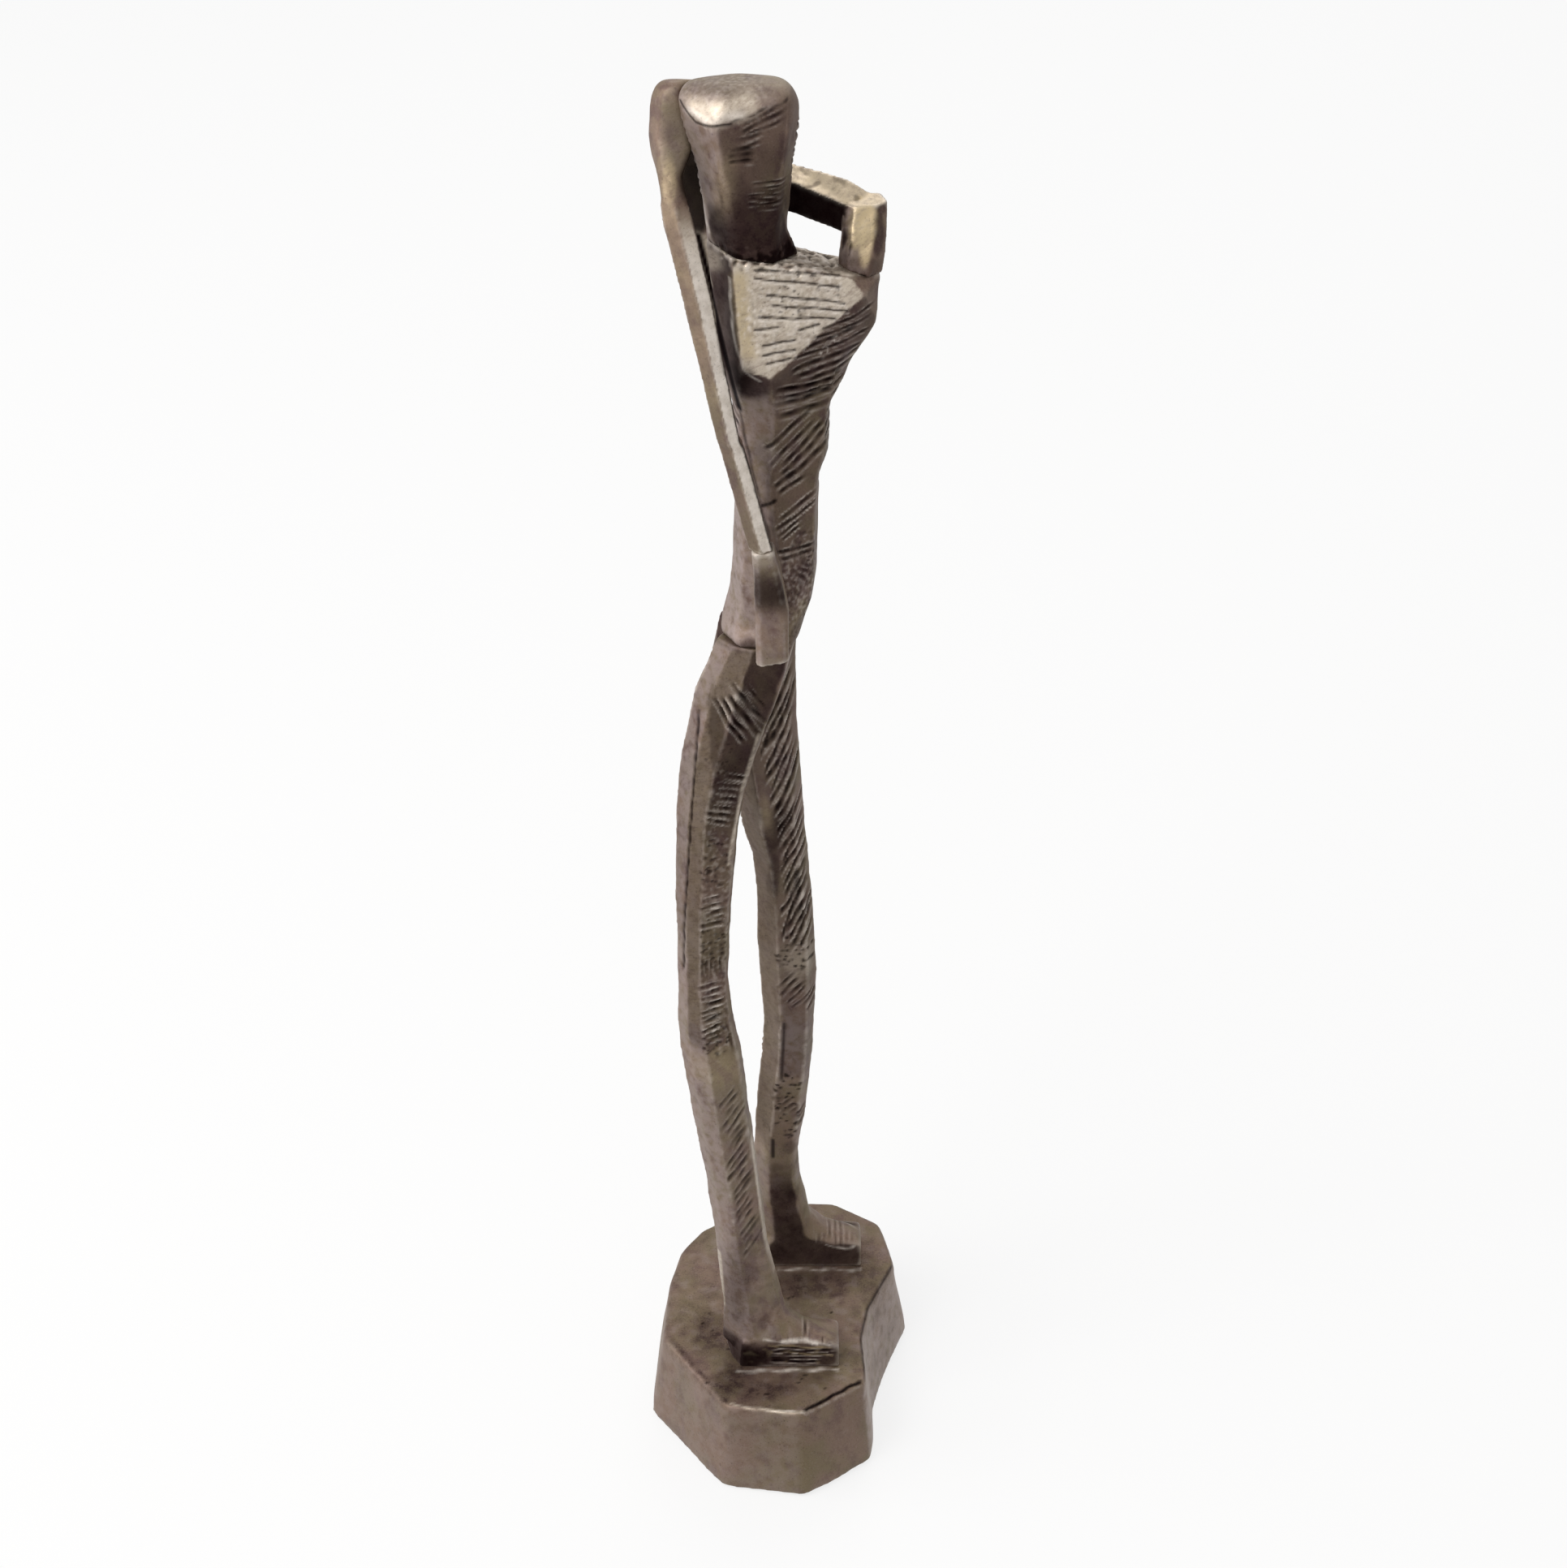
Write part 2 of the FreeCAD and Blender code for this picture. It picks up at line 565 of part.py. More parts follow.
# ---------------------------------------------------------------- assembly
def make_dowels():
    up, across, along_upper_arm = (0, 0, 1), (0, 1, 0), (0, ARM_DOWEL_LEAN, 1)
    wrist, above = RIGHT_ARM[0], RIGHT_ARM[1]
    along_bar = (above[1] - wrist[1], above[3] - wrist[3], above[0] * (BAR_TOP - WRIST))
    in_wrist = ((wrist[1] + wrist[2]) / 2, wrist[3] + ARM_DEPTH / 2, WRIST)
    in_neck = (NECK[0][0] + NECK[4][0]) / 2
    in_cap = ((SHOULDER_CAP[1][1] + HORN[3][2]) / 2, HORN_NEAR, BAR_TOP + CAP_DOWEL_SHARE * CAP_RISE)
    arm_x = (ARM_SEAT[0][0] + ARM_SEAT[3][0]) / 2
    in_arm = (arm_x, ARM_SEAT[0][1] + ARM_DOWEL_IN, shoulder_seat(arm_x))
    in_thighs = (-THIGH_DOWEL_BACK, 0, HIP - THIGH_DOWEL_DROP)
    hand, forearm = FOREARM[-1], FOREARM[-2]
    in_hand = ((hand[0] + forearm[0]) / 2, hand[1], ELBOW + (sum(hand[3:5]) + sum(forearm[3:5])) / 4)
    return {
        "right_hip_dowel": Dowel(("torso", "right_leg"), (-HIP_DOWEL_BACK, -HIP_DOWEL_OUT, HIP), up),
        "left_hip_dowel": Dowel(("torso", "left_leg"), (-HIP_DOWEL_BACK, HIP_DOWEL_OUT, HIP), up),
        "leg_cross_dowel": Dowel(("right_leg", "left_leg"), in_thighs, across),
        "neck_dowel": Dowel(("torso", "head"), (in_neck, NECK_DOWEL_OUT, shoulder_seat(in_neck)), up),
        "right_shoulder_dowel": Dowel(("torso", "right_arm"), in_cap, across, length=SHOULDER_DOWEL_LENGTH),
        "left_shoulder_dowel": Dowel(("torso", "left_arm"), in_arm, along_upper_arm, ARM_DOWEL_DIAMETER,
                                     SHOULDER_DOWEL_LENGTH),
        "left_hand_pin": Dowel(("head", "left_arm"), in_hand, across, PIN_DIAMETER, PIN_LENGTH),
        "wrist_pin": Dowel(("right_arm", "right_hand"), in_wrist, along_bar, PIN_DIAMETER, PIN_LENGTH),
    }


def main():
    os.makedirs("parts", exist_ok=True)
    head, torso = make_head(), make_torso()
    right_leg = make_leg(RIGHT_FOOT, RIGHT_LEG, RIGHT_LEG_FACETS)
    parts = {
        "plinth": make_plinth(),
        "base_pad": make_pad(),
        "right_foot_screw": make_screw(RIGHT_FOOT),
        "left_foot_screw": make_screw(LEFT_FOOT),
        "right_foot_washer": make_washer(RIGHT_FOOT),
        "left_foot_washer": make_washer(LEFT_FOOT),
        "right_leg": right_leg,
        "left_leg": make_leg(LEFT_FOOT, LEFT_LEG, LEFT_LEG_FACETS),
        "torso": torso,
        "head": head,
        "right_arm": make_right_arm(head),
        "right_hand": make_right_hand([torso, right_leg]),
        "left_arm": make_left_arm(head),
    }
    for name, dowel in make_dowels().items():
        for casting in dowel.castings:
            parts[casting] = parts[casting].cut(dowel.hole())
        parts[name] = dowel.pin()
    for name, shape in parts.items():
        box = shape.BoundBox
        print(f"{name}: {len(shape.Solids)} solid, valid {shape.isValid()}, {shape.Volume:.1f} mm3, "
              f"x {box.XMin:.1f} to {box.XMax:.1f}, y {box.YMin:.1f} to {box.YMax:.1f}, "
              f"z {box.ZMin:.1f} to {box.ZMax:.1f}")
        shape.exportStep(f"parts/{name}.step")


main()
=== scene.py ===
"""Looks of the souvenir figurine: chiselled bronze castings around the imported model.

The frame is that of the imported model: metres, +X the way the feet point, +Y the figure's
left, +Z up. Sizes of tool marks and paint are in millimetres, in the same frame. "near" is
the -Y side and "back" the -X side.
"""

import logging
import math
from dataclasses import dataclass, field, replace
from enum import Enum
from typing import Any, Iterable, Sequence

import bpy
import numpy as np
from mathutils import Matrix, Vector, noise


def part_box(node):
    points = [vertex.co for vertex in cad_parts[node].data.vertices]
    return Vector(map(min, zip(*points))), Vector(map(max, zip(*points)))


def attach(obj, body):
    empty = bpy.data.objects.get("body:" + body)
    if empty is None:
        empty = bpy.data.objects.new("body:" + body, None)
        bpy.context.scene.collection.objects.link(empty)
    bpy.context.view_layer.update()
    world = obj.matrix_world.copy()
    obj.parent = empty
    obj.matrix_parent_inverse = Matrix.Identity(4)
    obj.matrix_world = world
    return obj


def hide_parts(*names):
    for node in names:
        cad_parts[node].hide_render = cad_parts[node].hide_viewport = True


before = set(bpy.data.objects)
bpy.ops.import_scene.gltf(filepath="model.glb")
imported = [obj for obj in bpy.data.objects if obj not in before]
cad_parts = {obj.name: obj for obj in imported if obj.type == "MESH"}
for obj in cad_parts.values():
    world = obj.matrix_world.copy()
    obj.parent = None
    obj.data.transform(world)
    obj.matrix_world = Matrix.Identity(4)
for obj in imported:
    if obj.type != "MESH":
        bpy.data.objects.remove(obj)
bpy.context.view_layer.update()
LOG = logging.getLogger("figurine")
MM = 0.001
BODY = "root"

Pair = tuple[float, float]
Colour = tuple[float, float, float]
Way = tuple[float, float, float]

WHITE: Colour = (1.0, 1.0, 1.0)
UP: Way = (0.0, 0.0, 1.0)
AHEAD: Way = (1.0, 0.0, 0.0)
HIP = 142.0  # height of the seat between the legs and the torso
CLEAR = 300.0  # a height above the whole figure
MERGE_MM = 0.002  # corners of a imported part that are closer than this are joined
PIT_SEED = 5.0  # sets the second hammering of a casting apart from the first
MIRROR_SEED = 100  # sets mirrored strokes apart from those on the near side
MIRROR_SHARE = 0.6  # what the paint of mirrored facets and washes is multiplied by


def paint(red: int, green: int, blue: int) -> Colour:
    """Linear colour from the three numbers of a paint chart, 0 to 255."""
    return tuple(((c / 255 + 0.055) / 1.055) ** 2.4 if c > 10 else c / 3295 for c in (red, green, blue))


def ramp(values: np.ndarray, low: float, high: float) -> np.ndarray:
    """Smooth step of values from 0 at low to 1 at high."""
    share = np.clip((values - low) / (high - low), 0, 1)
    return share * share * (3 - 2 * share)


# ---------------------------------------------------------------- shader nodes
@dataclass(frozen=True)
class Wire:
    """Output socket of a shader node that takes part in Python sums."""

    shader: "Shader"
    socket: bpy.types.NodeSocket

    def __add__(self, other: Any) -> "Wire":
        """Sum."""
        return self.shader.sum("ADD", self, other)

    def __sub__(self, other: Any) -> "Wire":
        """Difference."""
        return self.shader.sum("SUBTRACT", self, other)

    def __rsub__(self, other: Any) -> "Wire":
        """Difference, the other way round."""
        return self.shader.sum("SUBTRACT", other, self)

    def __mul__(self, other: Any) -> "Wire":
        """Product."""
        return self.shader.sum("MULTIPLY", self, other)

    __radd__ = __add__
    __rmul__ = __mul__


class Shader:
    """The nodes of a material or of the sky."""

    def __init__(self, owner: bpy.types.Material | bpy.types.World) -> None:
        """Start with no node in owner.

        Args:
            owner: What the nodes belong to.
        """
        self.owner = owner
        self.owner.use_nodes = True
        self.tree = self.owner.node_tree
        self.tree.nodes.clear()

    @classmethod
    def named(cls, name: str) -> "Shader":
        """Nodes of a new material."""
        return cls(bpy.data.materials.new(name))

    def node(self, kind: str, settings: dict[str, Any] | None = None,
             sockets: dict[Any, Any] | None = None, output: Any = 0) -> Wire | None:
        """Add a node.

        Args:
            kind: Type of the node.
            settings: Its own settings, set before its sockets.
            sockets: Values or wires of its input sockets, by name or place.
            output: Name or place of the output that is handed back.

        Returns:
            The chosen output, or nothing where the node has none.
        """
        made = self.tree.nodes.new(kind)
        for key, value in (settings or {}).items():
            setattr(made, key, value)
        for key, value in (sockets or {}).items():
            if isinstance(value, Wire):
                self.tree.links.new(value.socket, made.inputs[key])
            elif isinstance(value, tuple) and made.inputs[key].type == "RGBA":
                made.inputs[key].default_value = (*value, 1.0)
            else:
                made.inputs[key].default_value = value
        return Wire(self, made.outputs[output]) if len(made.outputs) else None

    def sum(self, operation: str, first: Any, second: Any) -> Wire:
        """Math node of two values."""
        return self.node("ShaderNodeMath", {"operation": operation}, {0: first, 1: second})

    def mix(self, share: Any, first: Any, second: Any) -> Wire:
        """Colour between first and second."""
        return self.node("ShaderNodeMix", {"data_type": "RGBA"}, {0: share, 6: first, 7: second}, 2)

    def step(self, value: Wire, low: float, high: float, start: float = 0.0, end: float = 1.0) -> Wire:
        """Smooth step of value: start at low, end at high."""
        return self.node("ShaderNodeMapRange", {"interpolation_type": "SMOOTHSTEP"},
                         {"Value": value, "From Min": low, "From Max": high, "To Min": start, "To Max": end})

    def place(self, stretch: Way = (1.0, 1.0, 1.0), turn: Way = (0.0, 0.0, 0.0)) -> Wire:
        """Object coordinates, turned and then stretched.

        Args:
            stretch: Factor along each axis.
            turn: Angle about each axis, in radians.

        Returns:
            The place of the shaded point.
        """
        spot = self.node("ShaderNodeTexCoord", output="Object")
        turned = self.node("ShaderNodeVectorRotate", {"rotation_type": "EULER_XYZ"},
                           {"Vector": spot, "Rotation": turn})
        return self.node("ShaderNodeVectorMath", {"operation": "MULTIPLY"}, {0: turned, 1: stretch})

    def cloud(self, spot: Wire, size_mm: float, detail: float = 3.0, rough: float = 0.55) -> Wire:
        """Soft noise whose blobs are about size_mm across."""
        return self.node("ShaderNodeTexNoise", None, {"Vector": spot, "Scale": 1 / (size_mm * MM),
                                                      "Detail": detail, "Roughness": rough})

    def mark(self, name: str) -> Wire:
        """Value painted on the mesh under that name."""
        return self.node("ShaderNodeAttribute", {"attribute_name": name}, output="Fac")

    def background_rays(self) -> Wire:
        """1 for rays that show the background: straight, mirrored or refracted.

        Returns:
            1 or 0, by the kind of the ray.
        """
        first, second, third = (self.node("ShaderNodeLightPath", output=f"Is {ray} Ray")
                                for ray in ("Camera", "Glossy", "Transmission"))
        return self.sum("MAXIMUM", self.sum("MAXIMUM", first, second), third)

    def bump(self, strength: float, distance: float, height: Wire) -> Wire:
        """Normal of a surface with that relief."""
        return self.node("ShaderNodeBump", None, {"Strength": strength, "Distance": distance, "Height": height})

    def finish(self, surface: Wire) -> bpy.types.Material:
        """Join the surface to the output and hand the material back."""
        self.node("ShaderNodeOutputMaterial", None, {"Surface": surface})
        return self.owner

    def principled(self, sockets: dict[str, Any]) -> bpy.types.Material:
        """Finish with a Principled surface."""
        return self.finish(self.node("ShaderNodeBsdfPrincipled", None, sockets))


# ---------------------------------------------------------------- finishes
@dataclass(frozen=True)
class Bronze:
    """Aged cast bronze: brown patina, pale bloom with painted sheen, sooty recesses with painted shade, and brushed
    high places with painted highlights.
    """

    name: str
    brown: Colour = paint(122, 101, 87)
    olive: Colour = paint(112, 98, 75)
    plum: Colour = paint(82, 57, 58)
    # Pale bloom colour, also used as painted sheen on faces turned back and left.
    bloom: Colour = paint(146, 131, 127)
    # Dark patina colour, also used as painted shade.
    soot: Colour = paint(51, 33, 33)
    # Colour of pits and dark hollows, also of painted shadow lines in gaps.
    pit_and_shadow: Colour = paint(21, 10, 12)
    # Rubbed metal colour, also used as painted highlight on lit faces.
    worn: Colour = paint(196, 184, 168)
    # Brass tone, also used as painted warm highlight.
    gold: Colour = paint(182, 164, 132)
    # Colour of rubbed ridges and of painted highlights along edges.
    bare_and_highlight: Colour = paint(226, 216, 206)
    relief: float = 0.00006
    thin_soot_and_shade: float = 0.82
    speckle: float = 0.35
    blotch_mm: float = 1.3
    patches: float = 0.65

    def material(self) -> bpy.types.Material:
        """Build the material.

        Returns:
            The material.
        """
        s = Shader.named(self.name)
        spot = s.place()
        cloud = s.cloud(spot, 7.0)
        patina = s.cloud(s.place((1.0, 1.0, 0.7), (0.0, 0.4, 0.7)), 3.2, 5.0, 0.68)
        mottle = s.cloud(spot, self.blotch_mm, 4.0)
        grain = s.cloud(spot, 0.28, 3.0, 0.7)
        hair = s.cloud(s.place((1.0, 1.0, 3.0), (0.0, 0.5, 0.0)), 1.2, 4.0, 0.7)
        worn, gold, soot, bloom = s.mark("worn"), s.mark("gold"), s.mark("soot"), s.mark("bloom")
        cavity, crest = s.mark("cavity"), s.mark("crest")
        tone = s.mix(s.step(cloud, 0.35, 0.65), self.brown, self.olive)
        tone = s.mix(s.step(patina, 0.47, 0.66, 0.0, self.patches), tone, self.plum)
        # Pale bloom, partly painted sheen on faces turned back and left.
        tone = s.mix(bloom * s.step(mottle + 0.4 * cloud, 0.45, 0.85), tone, self.bloom)
        tone = s.mix(s.step(grain, 0.58, 0.7, 0.0, 0.35), tone, self.bloom)
        # Dark patina together with painted shade.
        tone = s.mix(soot * s.step(mottle + 0.5 * grain, 0.55, 0.85, 1.0, self.thin_soot_and_shade), tone, self.soot)
        # Rubbed metal together with painted highlight on lit faces.
        bright = worn * s.step(hair + 0.45 * mottle, 0.48, 0.82, 0.5, 1.0)
        tone = s.mix(bright, tone, self.worn)
        # Brass tone together with painted warm highlight.
        tone = s.mix(gold * s.step(hair + 0.35 * mottle, 0.42, 0.8, 0.5, 1.0), tone, self.gold)
        # Rubbed ridges together with painted highlights along edges.
        tone = s.mix(crest * s.step(mottle, 0.3, 0.7, 0.45, 0.95), tone, self.bare_and_highlight)
        # Dark in hollows and grooves, and painted shadow lines in gaps.
        tone = s.mix(cavity, tone, self.pit_and_shadow)
        tone = s.mix(s.step(grain, 0.30, 0.42, self.speckle, 0.0), tone, self.pit_and_shadow)
        metal = s.step(worn + gold, 0.0, 1.0, 0.5, 0.85) + 0.3 * soot - 0.4 * crest + 0.35 * cavity
        rough = s.step(worn + gold + 0.6 * crest, 0.0, 1.0, 0.54, 0.4) + 0.1 * soot + 0.4 * cavity
        rough = rough + 0.16 * (mottle - 0.5)
        height = 0.6 * grain + 0.8 * mottle + 0.5 * hair
        return s.principled({"Base Color": tone, "Metallic": metal, "Roughness": rough,
                             "Normal": s.bump(0.5, self.relief, height)})


@dataclass(frozen=True)
class Steel:
    """Plain zinc-plated steel with fine turning marks."""

    name: str = "steel"
    light: Colour = paint(176, 177, 180)
    dark: Colour = paint(140, 141, 146)
    relief: float = 0.00002

    def material(self) -> bpy.types.Material:
        """Build the material.

        Returns:
            The material.
        """
        s = Shader.named(self.name)
        turned = s.cloud(s.place((0.2, 0.2, 4.0)), 0.6, 4.0)
        spots = s.cloud(s.place(), 1.2)
        tone = s.mix(s.step(turned + 0.4 * spots, 0.5, 0.9), self.light, self.dark)
        return s.principled({"Base Color": tone, "Metallic": 1.0, "Roughness": s.step(spots, 0.3, 0.7, 0.26, 0.42),
                             "Normal": s.bump(0.4, self.relief, turned)})


@dataclass(frozen=True)
class Rubber:
    """Dark, slightly dusty foam rubber with a fine cell pattern."""

    name: str = "pad_rubber"
    dark: Colour = paint(34, 33, 34)
    dust: Colour = paint(72, 69, 66)
    cell_mm: float = 0.7
    relief: float = 0.00008

    def material(self) -> bpy.types.Material:
        """Build the material.

        Returns:
            The material.
        """
        s = Shader.named(self.name)
        spot = s.place()
        cells = s.node("ShaderNodeTexVoronoi", None, {"Vector": spot, "Scale": 1 / (self.cell_mm * MM)})
        dust = s.cloud(spot, 4.0)
        tone = s.mix(s.step(dust, 0.45, 0.7, 0.0, 0.6), self.dark, self.dust)
        return s.principled({"Base Color": tone, "Roughness": s.step(dust, 0.3, 0.7, 0.75, 0.92),
                             "Normal": s.bump(0.6, self.relief, cells)})


@dataclass(frozen=True)
class Card:
    """Plain pale studio floor that looks white and keeps the shadow."""

    name: str = "studio_floor"
    tone: Colour = (0.9, 0.9, 0.9)
    lift: float = 0.8

    def material(self) -> bpy.types.Material:
        """Build the material.

        Returns:
            The material.
        """
        s = Shader.named(self.name)
        matt = s.node("ShaderNodeBsdfDiffuse", None, {"Color": self.tone})
        glow = s.node("ShaderNodeEmission", None, {"Color": WHITE, "Strength": 1.0})
        share = self.lift * s.background_rays()
        return s.finish(s.node("ShaderNodeMixShader", None, {0: share, 1: matt, 2: glow}))


# ---------------------------------------------------------------- tool marks and paint
class Side(Enum):
    """Side that marks are laid on: the way across, the way up and the way it faces."""

    NEAR = ((1, 0, 0), (0, 0, 1), (0, -1, 0))
    FAR = ((-1, 0, 0), (0, 0, 1), (0, 1, 0))
    FRONT = ((0, 1, 0), (0, 0, 1), (1, 0, 0))
    BACK = ((0, -1, 0), (0, 0, 1), (-1, 0, 0))
    TOP = ((1, 0, 0), (0, 1, 0), (0, 0, 1))


@dataclass(frozen=True, kw_only=True)
class Patch:
    """Mark on one side, on the skin that looks along facing or, without it, the side's own way."""

    side: Side = Side.NEAR
    facing: Way | None = None
    tight: float = 0.3

    def shown(self, skin: "Skin") -> np.ndarray:
        """1 where the skin shows the mark, 0 where it looks another way."""
        return skin.facing(self.facing or self.side.value[2], self.tight)


@dataclass(frozen=True)
class Hatch(Patch):
    """Patch of roughly parallel chisel strokes.

    The middle is (across, up) in millimetres, long and wide are the half lengths of the
    patch along and across the strokes, and lean is the angle of the strokes in degrees.
    """

    seed: int
    middle: Pair
    long: float
    wide: float
    lean: float
    pitch: float = 1.3
    width: float = 0.4
    depth: float = 0.34
    ragged: float = 0.3
    dark: float = 1.0
    glint: float = 0.35
    soot: float = 0.3
    shear: float = 0.0

    def strokes(self, along: np.ndarray, over: np.ndarray) -> np.ndarray:
        """Work out the depth of the strokes.

        Args:
            along: Places of the points along the strokes.
            over: Places of the points across the strokes.

        Returns:
            About 1 in the strokes, and below 0 on the lips beside them.
        """
        dice = np.random.default_rng(self.seed)
        depth = np.zeros(len(along))
        rows = max(1, round(2 * self.wide / self.pitch))
        for row in range(rows):
            middle = -self.wide + (row + 0.5 + dice.uniform(-0.2, 0.2)) * 2 * self.wide / rows
            low = -self.long * (1 - self.ragged * dice.uniform(0, 1))
            high = self.long * (1 - self.ragged * dice.uniform(0, 1))
            slant, bow = dice.uniform(-0.06, 0.06), dice.uniform(-0.02, 0.02)
            waver = 0.06 * np.sin(along * dice.uniform(0.8, 1.6) + dice.uniform(0, 6))
            gap = (over - middle - slant * along - bow * along ** 2 + waver) / (self.width * dice.uniform(0.8, 1.25))
            ends = ramp(along, low - 0.2, low + 0.9) * (1 - ramp(along, high - 1.5, high + 0.2))
            cut = dice.uniform(0.65, 1.1) * (0.85 + 0.3 * np.sin(along * dice.uniform(1.5, 3.0)))
            lip = np.exp(-((np.abs(gap + 0.2) - 1.3) / 0.36) ** 2)
            groove = (np.clip(1 - np.abs(gap), 0, 1) ** 0.8 - 0.3 * lip) * ends * cut
            depth = np.where(np.abs(groove) > np.abs(depth), groove, depth)
        return depth

    def cut(self, skin: "Skin") -> None:
        """Sink the strokes into the skin and darken them.

        Args:
            skin: The skin that is worked on.
        """
        along, over = skin.seen_from(self.side, self.middle, self.lean)
        along = along - self.shear * over
        shown = self.shown(skin)
        depth = self.strokes(along, over) * shown
        skin.sink(self.depth * depth)
        patch = ramp(-np.abs(along), -self.long - 1.0, -self.long + 0.5)
        patch = patch * ramp(-np.abs(over), -self.wide - 1.0, -self.wide + 0.3)
        skin.lay("soot", self.soot * patch * shown)
        skin.lay("cavity", self.dark * np.clip(1.3 * depth, 0, 1))
        # Painted highlight on the lips beside the strokes.
        skin.lay("crest", self.glint * np.clip(-3.5 * depth, 0, 1))


@dataclass(frozen=True)
class Wash(Patch):
    """Soft-edged patch of paint: an oval, or a box where square is true."""

    mark: str
    middle: Pair
    size: Pair
    strength: float = 1.0
    lean: float = 0.0
    soft: float = 0.35
    square: bool = False
    tight: float = field(default=0.25, kw_only=True)

    def cut(self, skin: "Skin") -> None:
        """Lay the paint on the skin.

        Args:
            skin: The skin that is worked on.
        """
        along, over = skin.seen_from(self.side, self.middle, self.lean)
        a, b = np.abs(along) / self.size[0], np.abs(over) / self.size[1]
        reach = np.maximum(a, b) if self.square else np.hypot(a, b)
        reach = reach + 0.3 * (skin.patchy(2.0, 2.0) - 0.5)
        skin.lay(self.mark, self.strength * self.shown(skin) * ramp(-reach, -1 - self.soft, -1 + self.soft))


@dataclass(frozen=True)
class Facet:
    """Paint on the faces that look about one way, between two heights.

    bleed is how many points the paint spreads over the edges of the faces, and uneven is
    the share of it that comes and goes.
    """

    mark: str
    facing: Way
    strength: float
    tight: float = 0.9
    heights: Pair = (-1.0, CLEAR)
    fade: float = 1.5
    uneven: float = 0.3
    bleed: int = 12

    def cut(self, skin: "Skin") -> None:
        """Lay the paint on the skin.

        Args:
            skin: The skin that is worked on.
        """
        level = skin.band(*self.heights, self.fade)
        shown = skin.average(skin.facing(self.facing, self.tight), self.bleed)
        shown = ramp(shown + 0.5 * (skin.patchy(2.4) - 0.5), 0.25, 0.75)
        skin.lay(self.mark, self.strength * level * shown * (1 - self.uneven * skin.patchy(3.7, 1.0)))


@dataclass(frozen=True)
class Score:
    """One line through points (across, up): a cut, or, where depth is 0, a line of paint alone: a rubbed edge, a
    painted highlight or a painted shadow line.
    """

    points: tuple[Pair, ...]
    width: float = 0.4
    depth: float = 0.35
    strength: float = 0.85
    mark: str = "cavity"
    tight: float = 0.2
    broken: float = 0.0
    waver: float = 0.0
    side: Side = Side.NEAR

    def cut(self, skin: "Skin") -> None:
        """Sink the line into the skin and paint it.

        Args:
            skin: The skin that is worked on.
        """
        spot = np.stack(skin.seen_from(self.side, (0.0, 0.0)), 1)
        phase = 3.1 * self.points[0][1]
        reach = spot.sum(1)
        spot = spot + self.waver * np.sin(np.stack([1.7 * reach, 1.3 * reach], 1) + phase)
        gap = np.full(len(spot), 1e3)
        for start, end in zip(self.points, self.points[1:]):
            run = np.subtract(end, start)
            share = np.clip((spot - start) @ run / (run @ run), 0, 1)
            gap = np.minimum(gap, np.linalg.norm(spot - start - share[:, None] * run, axis=1))
        depth = np.clip(1 - gap / self.width, 0, 1) * skin.facing(self.side.value[2], self.tight)
        depth *= 1 - self.broken * (0.5 + 0.5 * np.sin(2.3 * reach + phase) * np.sin(0.9 * reach + 2 * phase))
        skin.sink(self.depth * depth)
        skin.lay(self.mark, self.strength * np.clip(1.4 * depth, 0, 1))


@dataclass(frozen=True)
class Pits(Patch):
    """Scatter of small casting pits over an oval patch."""

    seed: int
    middle: Pair
    size: Pair
    count: int
    radius: float = 0.3
    depth: float = 0.14
    dark: float = 0.9

    def cut(self, skin: "Skin") -> None:
        """Sink the pits and darken them.

        Args:
            skin: The skin that is worked on.
        """
        u, v = skin.seen_from(self.side, self.middle)
        dice = np.random.default_rng(self.seed)
        depth = np.zeros(len(u))
        for _ in range(self.count):
            turn, away = dice.uniform(0, 2 * math.pi), math.sqrt(dice.uniform(0, 1))
            x, y = away * self.size[0] * math.cos(turn), away * self.size[1] * math.sin(turn)
            near = np.hypot((u - x) / dice.uniform(0.9, 1.9), v - y) / (self.radius * dice.uniform(0.6, 1.2))
            depth = np.maximum(depth, dice.uniform(0.5, 1) * np.clip(1 - near, 0, 1))
        depth *= self.shown(skin)
        skin.sink(self.depth * depth)
        skin.lay("cavity", self.dark * np.clip(1.6 * depth, 0, 1))


@dataclass(frozen=True)
class Crust(Patch):
    """Oval patch of rough cast lumps, pale on their tops as painted highlight and dark between them."""

    middle: Pair
    size: Pair
    grain: float
    height: float
    pale: float
    dark: float
    mark: str = "crest"
    lean: float = 0.0
    tight: float = field(default=0.2, kw_only=True)

    def cut(self, skin: "Skin") -> None:
        """Raise the lumps and paint them.

        Args:
            skin: The skin that is worked on.
        """
        along, over = skin.seen_from(self.side, self.middle, self.lean)
        patch = ramp(-np.hypot(along / self.size[0], over / self.size[1]), -1.25, -0.7) * self.shown(skin)
        lumps = np.zeros(len(along))
        for at in np.flatnonzero(patch):
            lumps[at] = patch[at] * noise.noise(Vector(skin.points[at]) / self.grain)
        skin.sink(-self.height * lumps)
        tops = self.pale * ramp(lumps, 0.05, 0.4)
        skin.marks["cavity"] *= 1 - tops
        # Pale tops: painted highlight.
        skin.lay(self.mark, tops)
        skin.lay("cavity", self.dark * ramp(-lumps, 0.1, 0.45))


@dataclass(frozen=True)
class Seat:
    """Dark joint line that hides a seam: the height where a casting ends on its seat."""

    height: float
    reach: float
    strength: float
    calm: float = 1.6

    def cut(self, skin: "Skin") -> None:
        """Darken the rim and keep the rubbed edge with its painted highlight off it.

        Args:
            skin: The skin that is worked on.
        """
        away = np.abs(skin.points[:, 2] - self.height)
        skin.lay("cavity", self.strength * ramp(-away, -self.reach, -self.reach / 3))
        skin.quiet = np.minimum(skin.quiet, ramp(away, self.calm, 1.5 * self.calm))


